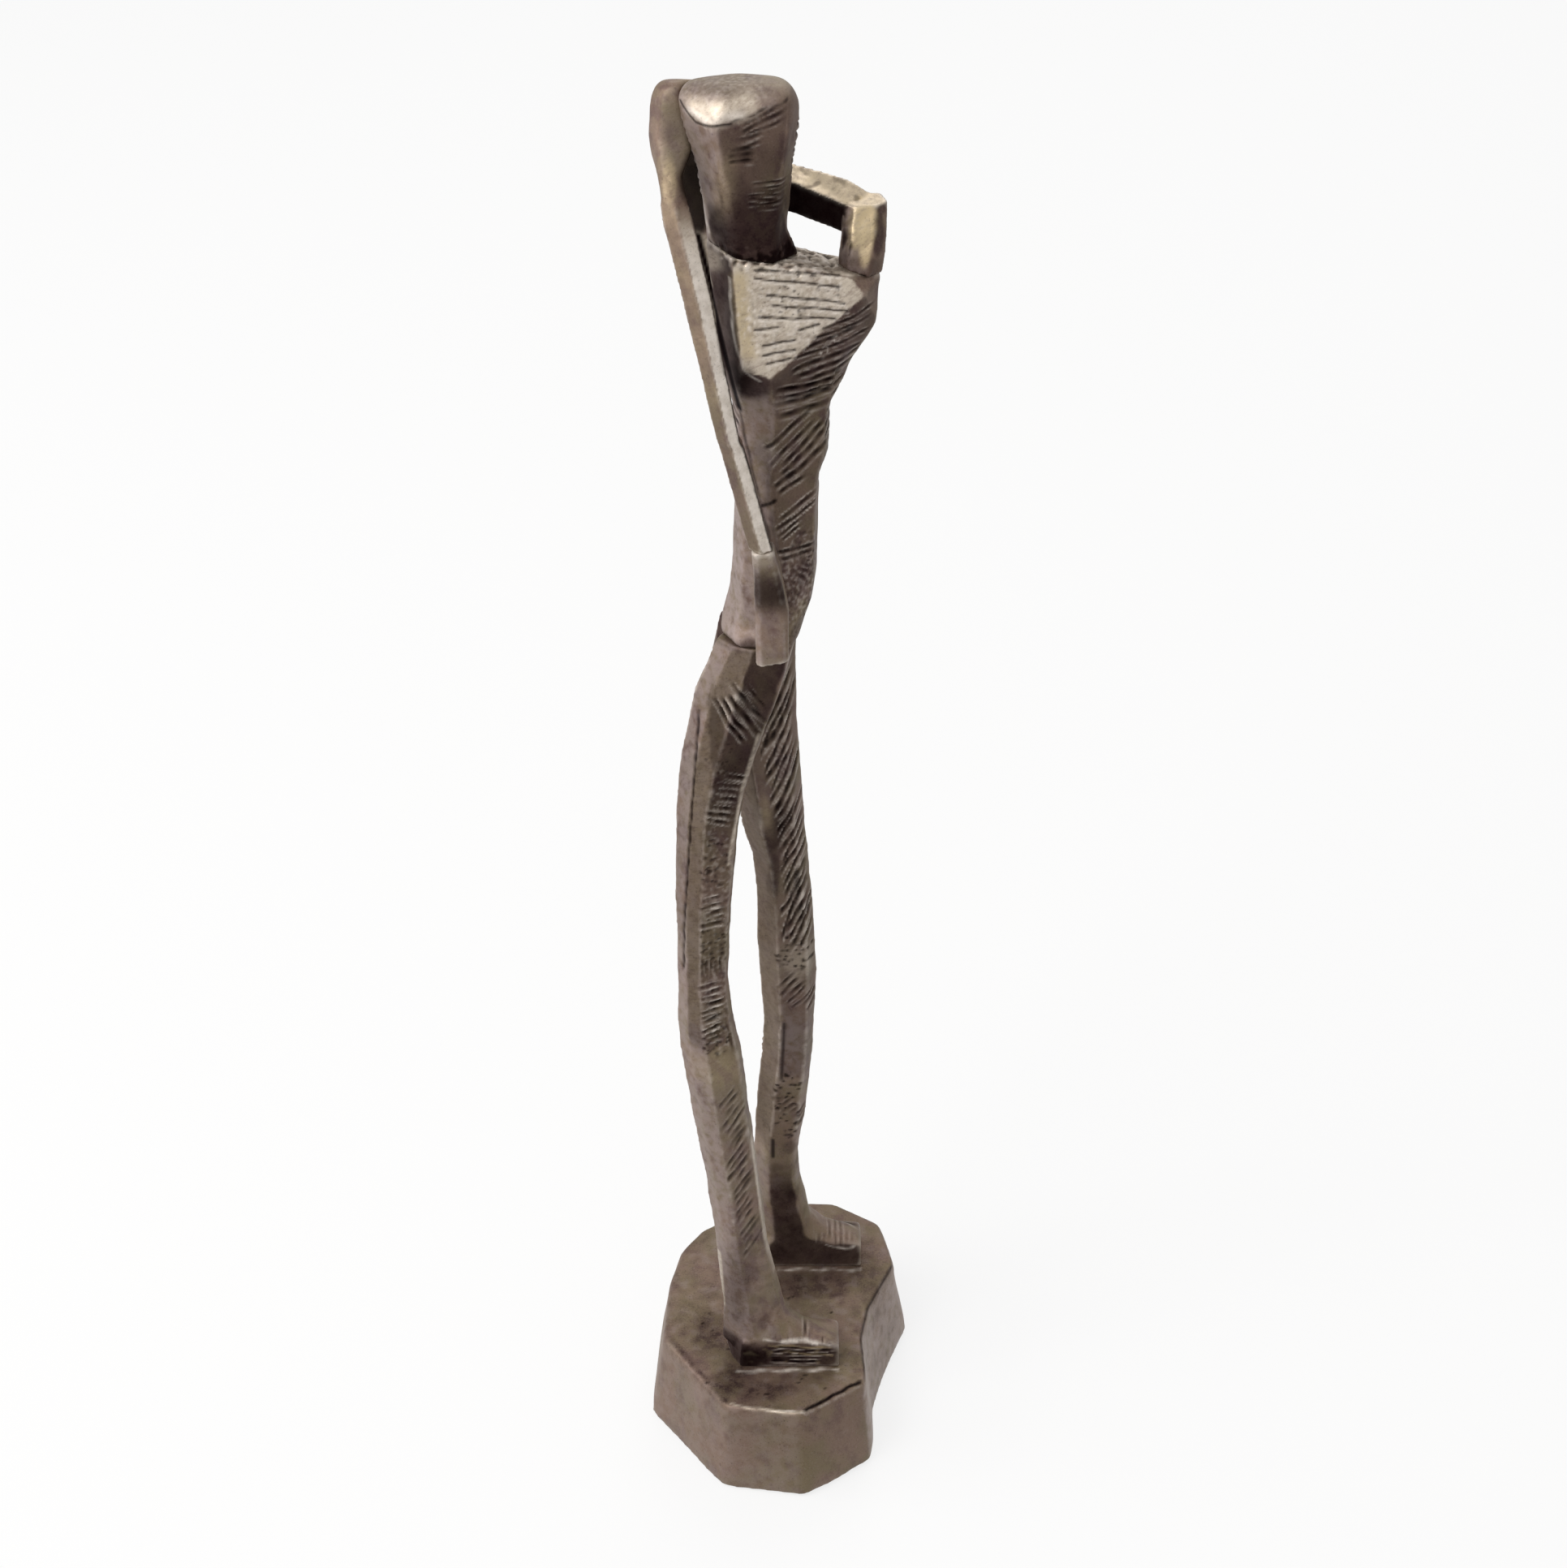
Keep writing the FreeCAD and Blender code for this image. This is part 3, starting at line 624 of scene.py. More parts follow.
@dataclass(frozen=True)
class Relax:
    """Softening of the shape between two heights."""

    heights: Pair
    rounds: int
    fade: float = 1.5

    def cut(self, skin: "Skin") -> None:
        """Round the edges off.

        Args:
            skin: The skin that is worked on.
        """
        share = skin.band(self.heights[0] + self.fade / 2, self.heights[1] - self.fade / 2, self.fade)
        for _ in range(self.rounds):
            skin.points += share[:, None] * (skin.blurred(1) - skin.points)


@dataclass(frozen=True)
class Calm:
    """Oval patch where the ridges get no rubbed edge or painted highlight."""

    middle: Pair
    size: Pair
    side: Side = Side.NEAR

    def cut(self, skin: "Skin") -> None:
        """Keep the rubbed edges and painted highlights off the patch."""
        u, v = skin.seen_from(self.side, self.middle)
        skin.quiet = np.minimum(skin.quiet, ramp(np.hypot(u / self.size[0], v / self.size[1]), 0.7, 1.2))


def other_side(marks: Iterable[Any], shift: Pair) -> list[Any]:
    """Marks of the near side, mirrored onto the far side.

    Args:
        marks: The marks; those of other sides and seats are left out.
        shift: How far they move towards +X and up.

    Returns:
        The mirrored marks.
    """
    turned: list[Any] = []
    for mark in marks:
        changes: dict[str, Any] = {}
        if getattr(mark, "facing", None):
            changes["facing"] = (mark.facing[0], -mark.facing[1], mark.facing[2])
        if isinstance(mark, (Facet, Wash)):
            changes["strength"] = MIRROR_SHARE * mark.strength
        if isinstance(mark, Facet):
            turned.append(replace(mark, **changes))
        elif getattr(mark, "side", None) is Side.NEAR:
            changes["side"] = Side.FAR
            if isinstance(mark, Score):
                changes["points"] = tuple((-x - shift[0], z + shift[1]) for x, z in mark.points)
            else:
                changes["middle"] = (-mark.middle[0] - shift[0], mark.middle[1] + shift[1])
            if isinstance(mark, Hatch):
                changes |= {"lean": -mark.lean, "shear": -mark.shear, "seed": mark.seed + MIRROR_SEED}
            turned.append(replace(mark, **changes))
    return turned


def on_side(side: Side, marks: Iterable[Any]) -> list[Any]:
    """Marks with those that are laid on a side moved to this one."""
    return [replace(mark, side=side) if hasattr(mark, "side") else mark for mark in marks]


class Skin:
    """Vertices of a casting as arrays in millimetres, with the paint on them."""

    MARKS = ("worn", "gold", "soot", "bloom", "cavity", "crest")
    # Way of the faces that get the pale bloom with painted sheen.
    BACKWARD: Way = (-0.86, -0.45, 0.25)
    BLUR_ROUNDS = 14
    MOST_PAINT = 0.9

    def __init__(self, thing: bpy.types.Object) -> None:
        """Read the mesh of thing.

        Args:
            thing: The object whose mesh is worked on.
        """
        self.mesh = thing.data
        self.points = self.read(self.mesh.vertices, "co", 3) / MM
        self.normals = self.read(self.mesh.vertices, "normal", 3)
        self.edges = self.read(self.mesh.edges, "vertices", 2, np.int32)
        count = len(self.points)
        ends = np.concatenate([self.edges[:, 0], self.edges[:, 1]])
        self.neighbours = np.maximum(np.bincount(ends, minlength=count), 1)
        self.marks = {mark: np.zeros(count) for mark in self.MARKS}
        self.quiet = np.ones(count)
        self.low, self.high = self.points.min(0), self.points.max(0)

    @staticmethod
    def read(items: Any, name: str, width: int, kind: type = float) -> np.ndarray:
        """Read one value of all items of a mesh.

        Args:
            items: Its vertices or edges.
            name: Name of the value.
            width: How many numbers it has for an item.
            kind: Type of the numbers.

        Returns:
            A row of numbers for each item.
        """
        values = np.empty(len(items) * width, kind)
        items.foreach_get(name, values)
        return values.reshape(-1, width)

    def seen_from(self, side: Side, middle: Pair, lean: float = 0.0) -> tuple[np.ndarray, np.ndarray]:
        """Look at the points from one side.

        Args:
            side: The side.
            middle: Place on it that counts as the middle.
            lean: Angle by which the two axes are turned, in degrees.

        Returns:
            Places of the points along the first axis and along the second.
        """
        across, up = (np.array(way, float) for way in side.value[:2])
        u, v = self.points @ across - middle[0], self.points @ up - middle[1]
        turn = math.radians(lean)
        return u * math.cos(turn) + v * math.sin(turn), -u * math.sin(turn) + v * math.cos(turn)

    def facing(self, way: Way, tight: float) -> np.ndarray:
        """1 where the skin looks along way, falling to 0 where the cosine drops below tight."""
        aim = np.array(way, float) / np.linalg.norm(way)
        return ramp(self.normals @ aim, tight - 0.35 * (1 - tight), tight + 0.15 * (1 - tight))

    def band(self, low: float, high: float, fade: float) -> np.ndarray:
        """1 between two heights, with ends as soft as fade."""
        height = self.points[:, 2]
        return ramp(height, low - fade / 2, low + fade / 2) * (1 - ramp(height, high - fade / 2, high + fade / 2))

    def average(self, values: np.ndarray, rounds: int) -> np.ndarray:
        """Blur values over the mesh.

        Args:
            values: A value for each point.
            rounds: How many neighbours far they spread.

        Returns:
            The blurred values.
        """
        a, b = self.edges.T
        for _ in range(rounds):
            total = np.bincount(a, values[b], len(values)) + np.bincount(b, values[a], len(values))
            values = 0.5 * values + 0.5 * total / self.neighbours
        return values

    def blurred(self, rounds: int) -> np.ndarray:
        """The points, blurred."""
        return np.stack([self.average(axis, rounds) for axis in self.points.T], 1)

    def patchy(self, size_mm: float, seed: float = 0.0) -> np.ndarray:
        """Make up smooth uneven values.

        Args:
            size_mm: Size of the patches.
            seed: What sets one set of patches apart from another.

        Returns:
            A value from 0 to 1 for each point.
        """
        x, y, z = (self.points / size_mm + seed).T
        waves = np.sin(2.9 * x + 1.3 * np.sin(2.3 * z)) + np.sin(3.1 * z + 1.7 * np.sin(2.1 * x + y))
        waves += np.sin(2.7 * y + 1.1 * z + 1.9 * np.sin(1.3 * x - z)) + 0.6 * np.sin(6.1 * (x + z) + 5.3 * y)
        return 0.5 + waves / 7.2

    def sink(self, depth: np.ndarray) -> None:
        """Move the skin inwards by depth."""
        self.points -= self.normals * depth[:, None]

    def lay(self, mark: str, amount: np.ndarray) -> None:
        """Paint over what is there already."""
        self.marks[mark] = np.maximum(self.marks[mark], amount)

    def hammer(self, size_mm: float, height_mm: float, seed: float) -> None:
        """Give the skin a soft uneven surface.

        Args:
            size_mm: Size of the dents.
            height_mm: Their height.
            seed: What sets one hammering apart from another.
        """
        offset = Vector((seed, 2 * seed, 3 * seed))
        rise = [noise.noise(Vector(p) / size_mm + offset) for p in self.points]
        self.sink(height_mm * np.array(rise))

    def weather(self, cavity_gain: float, crest_gain: float, bloom: float) -> None:
        """Darken hollows, brighten ridges as rubbed edges with painted highlight, and lay the pale bloom with
        painted sheen on the faces that look back.

        Args:
            cavity_gain: How strongly hollows darken.
            crest_gain: How strongly ridges brighten.
            bloom: Strength of the pale bloom and its painted sheen.
        """
        hollow = ((self.blurred(self.BLUR_ROUNDS) - self.points) * self.normals).sum(1)
        hollow = self.average(hollow, 2)
        self.lay("cavity", np.clip(cavity_gain * hollow - 0.1, 0, self.MOST_PAINT))
        # Ridges get rubbed-edge paint with painted highlight.
        self.lay("crest", np.clip(-crest_gain * hollow - 0.25, 0, self.MOST_PAINT))
        self.marks["crest"] *= self.quiet
        # Pale bloom with painted sheen on the faces that look back and left.
        self.lay("bloom", bloom * ramp(self.normals @ np.array(self.BACKWARD), 0.25, 0.75))

    def write(self) -> None:
        """Put the points and the paint back on the mesh."""
        self.points = np.clip(self.points, self.low, self.high)
        self.mesh.vertices.foreach_set("co", (self.points * MM).ravel())
        for name, values in self.marks.items():
            mark = self.mesh.attributes.new(name, "FLOAT", "POINT")
            mark.data.foreach_set("value", np.clip(values, 0, 1).astype(np.float32))
        self.mesh.update()


# ---------------------------------------------------------------- modelling
def select_only(thing: bpy.types.Object) -> None:
    """Select thing alone and make it active.

    Args:
        thing: The object.
    """
    bpy.ops.object.select_all(action="DESELECT")
    thing.select_set(True)
    bpy.context.view_layer.objects.active = thing


def apply_modifier(thing: bpy.types.Object, kind: str, **settings: Any) -> None:
    """Add a modifier to the active object, set it and apply it.

    Args:
        thing: The object.
        kind: Type of the modifier.
        settings: Its settings.
    """
    made = thing.modifiers.new(kind.title(), kind)
    for key, value in settings.items():
        setattr(made, key, value)
    bpy.ops.object.modifier_apply(modifier=made.name)


def fine_copy(node: str, name: str, voxel_mm: float, soften: int) -> bpy.types.Object:
    """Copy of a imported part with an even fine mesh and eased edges.

    Args:
        node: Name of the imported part.
        name: Name of the copy.
        voxel_mm: Size of its faces.
        soften: How many rounds its edges are eased.

    Returns:
        The copy, selected and active.
    """
    thing = bpy.data.objects.new(name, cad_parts[node].data.copy())
    thing.data.name = name
    bpy.context.collection.objects.link(thing)
    select_only(thing)
    bpy.ops.object.mode_set(mode="EDIT")
    bpy.ops.mesh.select_all(action="SELECT")
    bpy.ops.mesh.remove_doubles(threshold=MERGE_MM * MM)
    bpy.ops.object.mode_set(mode="OBJECT")
    apply_modifier(thing, "REMESH", mode="VOXEL", voxel_size=voxel_mm * MM)
    apply_modifier(thing, "SMOOTH", factor=0.5, iterations=soften)
    return thing


def cover(thing: bpy.types.Object, material: bpy.types.Material) -> None:
    """Give thing that material and no other."""
    thing.data.materials.clear()
    thing.data.materials.append(material)


@dataclass
class Casting:
    """One bronze casting with its worked surface.

    waves and pits are the size and the height, in millimetres, of its two hammerings.
    """

    node: str
    voxel_mm: float
    slot: str = "figure_bronze"
    soften: int = 6
    swell: float = 0.1
    waves: Pair = (4.5, 0.16)
    pits: Pair = (1.1, 0.05)
    cavity_gain: float = 4.0
    crest_gain: float = 5.0
    bloom: float = 0.7
    seed: float = 3.0
    marks: Sequence[Any] = field(default_factory=list)

    def build(self, material: bpy.types.Material) -> None:
        """Make the piece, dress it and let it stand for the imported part.

        Args:
            material: Finish of the piece.
        """
        thing = fine_copy(self.node, f"{self.node}_bronze", self.voxel_mm, self.soften)
        skin = Skin(thing)
        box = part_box(self.node)
        skin.low, skin.high = np.array(box[0]) / MM, np.array(box[1]) / MM
        skin.sink(np.full(len(skin.points), -self.swell))
        skin.hammer(*self.waves, self.seed)
        skin.hammer(*self.pits, self.seed + PIT_SEED)
        for mark in self.marks:
            mark.cut(skin)
        skin.weather(self.cavity_gain, self.crest_gain, self.bloom)
        skin.write()
        for face in thing.data.polygons:
            face.use_smooth = True
        cover(thing, material)
        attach(thing, BODY)
        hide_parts(self.node)
        LOG.info("%s: %d faces", thing.name, len(thing.data.polygons))


# ---------------------------------------------------------------- tool marks and paint of each casting
# The order of the numbers is that of the fields. Heights are above the floor.
def head_marks() -> list[Any]:
    """Marks of the head.

    Returns:
        The marks, in the order in which they are laid on.
    """
    neck = (0.1, -0.8, 0)
    marks = [
        Facet("soot", (0.22, -0.97, 0), 0.75, uneven=0.5),
        # Painted shade on the neck under the head.
        Facet("soot", neck, 1, 0.5, (190, 207), 7, 0),
        Facet("cavity", neck, 0.3, 0.5, (190, 202.5), 6, 0),
        Facet("cavity", (0.35, -0.94, 0), 0.24, 0.93, (190, 211), 9),
        Facet("soot", (-0.8, -0.57, -0.15), 0.12),
        Hatch(2, (-1.4, 215.4), 3.8, 1.2, 22, 0.7, 0.3, 0.2, 0.5, 0.7, 0.2),
        Hatch(3, (-3.2, 213), 2.4, 0.9, 14, 0.9, 0.3, 0.2, 0.6, 0.6),
        Hatch(4, (-4.3, 211), 2.3, 1.2, 4, 0.94, 0.45, 0.26, dark=0.8),
        Hatch(5, (-1.3, 205.6), 3, 2, -4, 0.6, 0.24, 0.16, 0.6, 0.7),
        Wash("gold", (-6.6, 207), (1.2, 4.4), 0.3, -6, 0.8),
        Calm((-6.6, 208), (3, 7.6)),
    ]
    return marks + other_side(marks, (0, -1.5)) + [
        Crust((-6.6, 217), (6, 3), 0.45, 0.03, 0.14, 0.1, tight=-0.3),
        # Painted highlight along the front lip and the top of the cap.
        Score(((-9.8, 216.2), (-8.2, 216), (-6.5, 216.5), (-3.6, 217.1)), 2, 0, 0.7, "worn"),
        Score(((-10.8, 215.6), (-9, 215.3), (-7.2, 215.6), (-4.4, 216.3)), 0.8, 0, 0.7, "crest", 0.2, 0.5, 0.1),
        Wash("worn", (-4.5, 218.2), (6.5, 1.8), 0.2, 8, 0.8, tight=-0.2),
        Score(((-12, 216.4), (-11.1, 215.4), (-10, 214.6), (-8, 214.9), (-5.7, 215.3)), 0.3, 0.14, 0.8, broken=0.2,
              waver=0.1),
        Score(((-5.7, 215.3), (-3.5, 216), (-1.3, 216.7), (1.2, 217.4)), 0.3, 0.14, 0.6, broken=0.8, waver=0.12),
        # Painted highlight along the head's back-left edge.
        Score(((-12.7, 217.2), (-12.5, 215.6), (-12, 212.8), (-11.2, 210.3), (-10.1, 206.5), (-9.4, 203.4),
              (-8.7, 199)), 0.3, 0, 0.6, "crest", -0.4, 0.5, 0.05),
        Wash("soot", (-6, 219.5), (6, 2.2), 0.5, 0, 0.7, tight=-0.2),
        Relax((213, CLEAR), 60, 3),
        Facet("soot", AHEAD, 0.6, 0.75),
        Hatch(81, (0.6, 210), 2.2, 4, 8, 1.1, ragged=0.5, side=Side.FRONT, tight=0.95),
        Hatch(82, (0.5, 209), 3, 5, -12, 1.1, ragged=0.5, side=Side.BACK, tight=0.93),
        Seat(197, 1.6, 0.8),
        Crust((-2.4, 197.7), (6.5, 1.1), 0.7, 0.22, 0.7, 0.5, lean=-4, tight=-0.3),
    ]


def torso_marks() -> list[Any]:
    """Marks of the torso.

    Returns:
        The marks, in the order in which they are laid on.
    """
    chest, bust, rib, armpit = (0.1, -0.96, 0.25), (0.5, -0.82, -0.28), (0.4, -0.92, 0), (-0.88, -0.48, 0)
    lines = (((-2.5, 195.7), (7.6, 194.5)), ((-3, 194.7), (7.6, 193.1)), ((-1.5, 192.6), (8.2, 191.1)),
             ((-0.8, 191.3), (8.7, 190.1)), ((-2.5, 189.9), (7.1, 189.3)), ((-3, 188.4), (0, 188.6)),
             ((2.6, 188.2), (5.1, 188.6)), ((-2, 186.5), (2.1, 187)), ((-2, 185.3), (2.1, 185.8)),
             ((-1.5, 184.2), (1.6, 184.8)))
    lips = [tuple((x, z - 0.36) for x, z in line) for line in lines]
    marks = [
        # Painted highlight on the chest facet that faces the light.
        Facet("worn", chest, 1, 0.965, (181.2, 196.5), 1, 0.2, 3),
        Crust((2, 190), (7, 7.5), 0.5, 0.05, 0.7, 0.2, facing=chest, tight=0.9),
        Crust((3, 189.5), (6, 7), 1.1, 0.05, 0.3, 0.12, facing=chest, tight=0.9),
        # Painted shade under the bust.
        Facet("soot", bust, 0.85, 0.93, (178, 198), bleed=3),
        Facet("soot", rib, 0.6, 0.93, (148, 182)),
        Facet("bloom", (-0.45, -0.9, 0), 0.7, 0.9, (150, 182)),
        # Painted shade in the armpit.
        Facet("soot", armpit, 1, 0.82, (181, 198.5)),
        Wash("cavity", (-5.2, 181.5), (2, 3), 0.6, -20, 0.6),
        Wash("soot", (-3.6, 181), (3, 2.6)),
        Pits(1, (2.5, 191.8), (6, 2.4), 40, 0.2, 0.1, 0.7, facing=chest, tight=0.9),
        Pits(2, (2, 153), (4.5, 6), 60, 0.24, 0.1, 0.6),
        Crust((3, 150), (4, 9), 0.5, 0.1, 0.25, 0.3),
        Hatch(6, (8, 188.2), 4.6, 1.4, 12, 1.35, 0.3, 0.34, 0.4, 0.8, facing=bust, tight=0.8),
        Hatch(7, (6.6, 184), 5.6, 3.2, 12, 1.4, 0.32, 0.34, 0.4, 0.8, facing=bust, tight=0.8),
        Hatch(8, (3.6, 179.6), 4.2, 1.1, 6, 1.2, ragged=0.15),
        Hatch(9, (3.4, 177.2), 4.2, 2, 8, 1.7, dark=0.9),
        Hatch(10, (2.8, 171.4), 5.4, 3.4, 43, 1.5, 0.36, 0.3, 0.4, 0.8),
        Hatch(11, (1.4, 166.6), 2.6, 1.2, 33, 1.15, dark=0.8),
        Hatch(12, (2.7, 162.3), 3.8, 1.3, 33, 1.37, 0.3, 0.3, 0.5, 0.8, 0.7),
        Hatch(13, (1.3, 159.8), 2.2, 1.4, 30, 1.1, 0.3, 0.3, 0.3, 0.8, 0.7),
        Hatch(14, (2.9, 155.8), 3.6, 1, -6, 1, 0.3, 0.3, 0.6, 0.8),
        Hatch(15, (3.2, 153), 2.2, 1.2, -40, 0.9, 0.3, 0.2, 0.6, 0.6),
        *[Score(line, 0.24, 0.2, 0.9, broken=0.25, waver=0.05) for line in lines],
        *[Score(lip, 0.24, 0, 0.9, "crest", broken=0.6, waver=0.05) for lip in lips],
    ]
    return marks + other_side(marks[1:], (-1, -0.8)) + [
        Facet("worn", (0.1, 0.96, 0.25), 0.4, 0.965, (184, 195), 5, 0.6, 16),
        # Painted shade in the gap behind the head.
        Facet("cavity", (-0.6, -0.6, 0), 0.75, 0.2, (198, CLEAR), 2),
        Wash("worn", (-9.4, 195.2), (1.4, 3), 0.5, -65),
        # Painted highlight on the faces that look up at the shoulders.
        Facet("worn", UP, 0.8, 0.8, (190, CLEAR)),
        Facet("soot", UP, 0.3, 0.8, (190, CLEAR), 1.5, 0.8),
        Wash("soot", (9.6, 195.6), (3.2, 1.6), 0.7, -20, 0.5),
        Facet("soot", AHEAD, 0.5, 0.8),
        Facet("bloom", (-0.85, -0.5, 0), 1, 0.88, (139, 181)),
        Score(((-4.9, 194.6), (-4.8, 192), (-4.4, 188.6), (-3.8, 185.6)), 1.5, 0, mark="gold"),
        Score(((-6.1, 194.6), (-6, 191.8), (-5.8, 188.5), (-5.3, 185.6), (-4.3, 183.2), (-2.4, 181.8)), 0.3, 0, 0.8,
              "crest", -0.2, 0.4, 0.06),
        # Painted shadow line of the arm on the torso, over a shallow cut.
        Score(((-10.2, 196.4), (-8.8, 191), (-7.6, 186.2), (-6.5, 182.1), (-5.2, 176)), 0.7, 0.2, 1, tight=-0.3),
        Score(((-5.2, 176), (-4.6, 173.2), (-2, 161.1), (-0.6, 156.6)), 0.35, 0.2, 0.6, broken=0.4, waver=0.08),
        Crust((-2.4, 170), (3, 12), 2.6, 0.08, 0.5, 0.2, "bloom", -12),
        Facet("cavity", armpit, 0.3, 0.8, (183, 200), 4),
        # Painted shade in the gap behind the head.
        Wash("cavity", (-10.6, 201.5), (2, 5), 0.8, -12, 0.2, True, tight=0.8),
        Score(((-10.3, 197), (-9.4, 194.8), (-8.9, 192.2)), 0.7, 0, 0.8, "worn", waver=0.1),
        Relax((180, 197.5), 14),
        Score(((-2.2, 163), (-0.5, 163.9))),
        Hatch(83, (0, 173), 4.5, 9, 20, 1.6, ragged=0.6, soot=0.5, side=Side.FRONT, tight=0.85),
        Hatch(84, (0, 176), 4.5, 9, -24, 1.7, ragged=0.6, soot=0.2, side=Side.BACK, tight=0.93),
        Wash("soot", (-3.6, 142), (1.8, 1.6), 0.7),
        Seat(HIP, 1, 0.15, 3),
        Crust((0.6, 195.9), (8, 1.3), 0.7, 0.25, 0.6, 0.7, lean=-8, tight=-0.3),
        Relax((141, 150), 24),
        Relax((148, 180), 10, 6),
    ]


def right_leg_marks() -> list[Any]:
    """Marks of the near leg.

    Returns:
        The marks, in the order in which they are laid on.
    """
    front, outer = (0.36, -0.93, 0.03), (-0.45, -0.89, 0.1)
    return [
        # Facets tone each face of the leg by the way it looks: patina together with painted light and shade.
        Facet("bloom", (-0.8, -0.6, 0.05), 0.2, 0.93),
        Facet("soot", (-0.8, -0.6, 0.1), 0.3, 0.93, (96, 150), 8),
        Facet("gold", outer, 0.28, 0.96, (80, 146), 4, 0.6),
        Facet("soot", outer, 0.9, 0.96, (78, 146), 6, 0.35),
        Facet("soot", front, 0.5, 0.96, (77, 150)),
        Facet("soot", front, 0.95, 0.96, (112, 150), 14),
        Facet("cavity", front, 0.3, 0.96, (112, 150), 14),
        Facet("bloom", front, 0.3, 0.96, (20, 70), 8),
        Wash("gold", (-9.4, 73.2), (4, 2.6), 0.24, -20, 0.6),
        Wash("soot", (-6.9, 31.5), (2.2, 9), 0.6, -8, 0.9),
        Wash("cavity", (-6.5, 27.5), (1.5, 4.5), 0.1, -8, 0.9),
        Facet("cavity", outer, 0.14, 0.96, (78, 146), 6, 0.5),
        Wash("cavity", (-8, 125.5), (1.3, 9.5), 0.45, 5, 0.3, facing=(-0.4, -0.9, 0.15), tight=0.8),
        Hatch(21, (-5.2, 131.6), 5.6, 2.5, -56, 1.15, 0.4, 0.34, 0.4, 0.8, 0.5),
        Hatch(22, (-3, 133.6), 3.6, 0.9, -58, 0.8, 0.3, 0.22, 0.5, 0.7),
        Hatch(23, (-7.2, 118.3), 2.4, 4.1, -24, 1.1, 0.34, 0.3, 0.4, 0.75, 0.7),
        Hatch(24, (-9.2, 112.5), 1.1, 0.6, -6, 0.77, dark=0.7),
        Hatch(25, (-9.3, 100.5), 2.2, 2.9, 2, 1.3, 0.34, 0.3, 0.4, 0.75, 1),
        Hatch(26, (-9.7, 90.9), 1.9, 1.6, 85, 0.7, 0.3, 0.15, 0.5, 0.6),
        Hatch(27, (-9.6, 85), 2.1, 3.3, 2, 1.15, 0.34, 0.3, 0.5, 0.75, 1),
        Hatch(28, (-9.6, 80), 2.1, 2.2, 12, 1.15, 0.34, 0.3, 0.5, 0.7, 0.9),
        Hatch(29, (-6.6, 78.2), 3, 0.7, -78, 0.56, 0.3, 0.2, dark=0.6),
        Crust((-8.6, 100), (3, 26), 0.6, 0.07, 0.2, 0.22, facing=front, tight=0.8),
        Hatch(30, (-5.7, 54.5), 3.4, 10.4, 52, 0.95, 0.4, 0.2, 0.8, 0.6, 0.2, 0.1, 1.03),
        Crust((-3.6, 32), (5, 12), 1.8, 0.08, 0.22, 0.1, "soot"),
        Pits(4, (-7.5, 125), (2.6, 6), 60, 0.24, 0.1, 0.55),
        Pits(5, (-9, 95), (2.4, 5), 50, dark=0.7),
        Pits(6, (-9, 108), (2, 4), 30, dark=0.7),
        Pits(7, (-9, 78), (2, 2.5), 30, dark=0.7),
        # Painted highlight along the front edge of the thigh.
        Score(((-2.8, 128.1), (-4.2, 123), (-5.2, 119.1), (-5.9, 114.6), (-6.6, 110.8), (-7.1, 107.5)), 0.4, 0, 0.7,
              "worn", 0, 0.4),
        Calm((-1, 135), (2.4, 6)),
        # Painted highlight along the front edge of the shin.
        Score(((-4.2, 59.2), (-3.6, 53.1), (-2.8, 45.4), (-1.9, 38.4), (-0.7, 32.9)), 0.24, 0, 0.6, "worn", 0, 0.4),
        Calm((-2.6, 45), (2, 16)),
        Score(((-10.9, 131.3), (-11.5, 123.8), (-12.1, 116.3), (-12.7, 108.4), (-13.1, 102.9), (-13.5, 97.1),
              (-13.7, 89.8)), 0.3, 0.22, 0.8, broken=0.6, waver=0.04),
        Hatch(85, (8, 112), 2.6, 10, 35, 1.5, ragged=0.6, soot=0.15, shear=0.6, side=Side.BACK, tight=0.93),
        Hatch(86, (9, 60), 2.4, 8, -30, 1.4, ragged=0.6, soot=0.15, side=Side.BACK, tight=0.93),
        Seat(HIP, 1, 0.25, 2.4),
        Relax((15, 46), 24, 6),
    ]


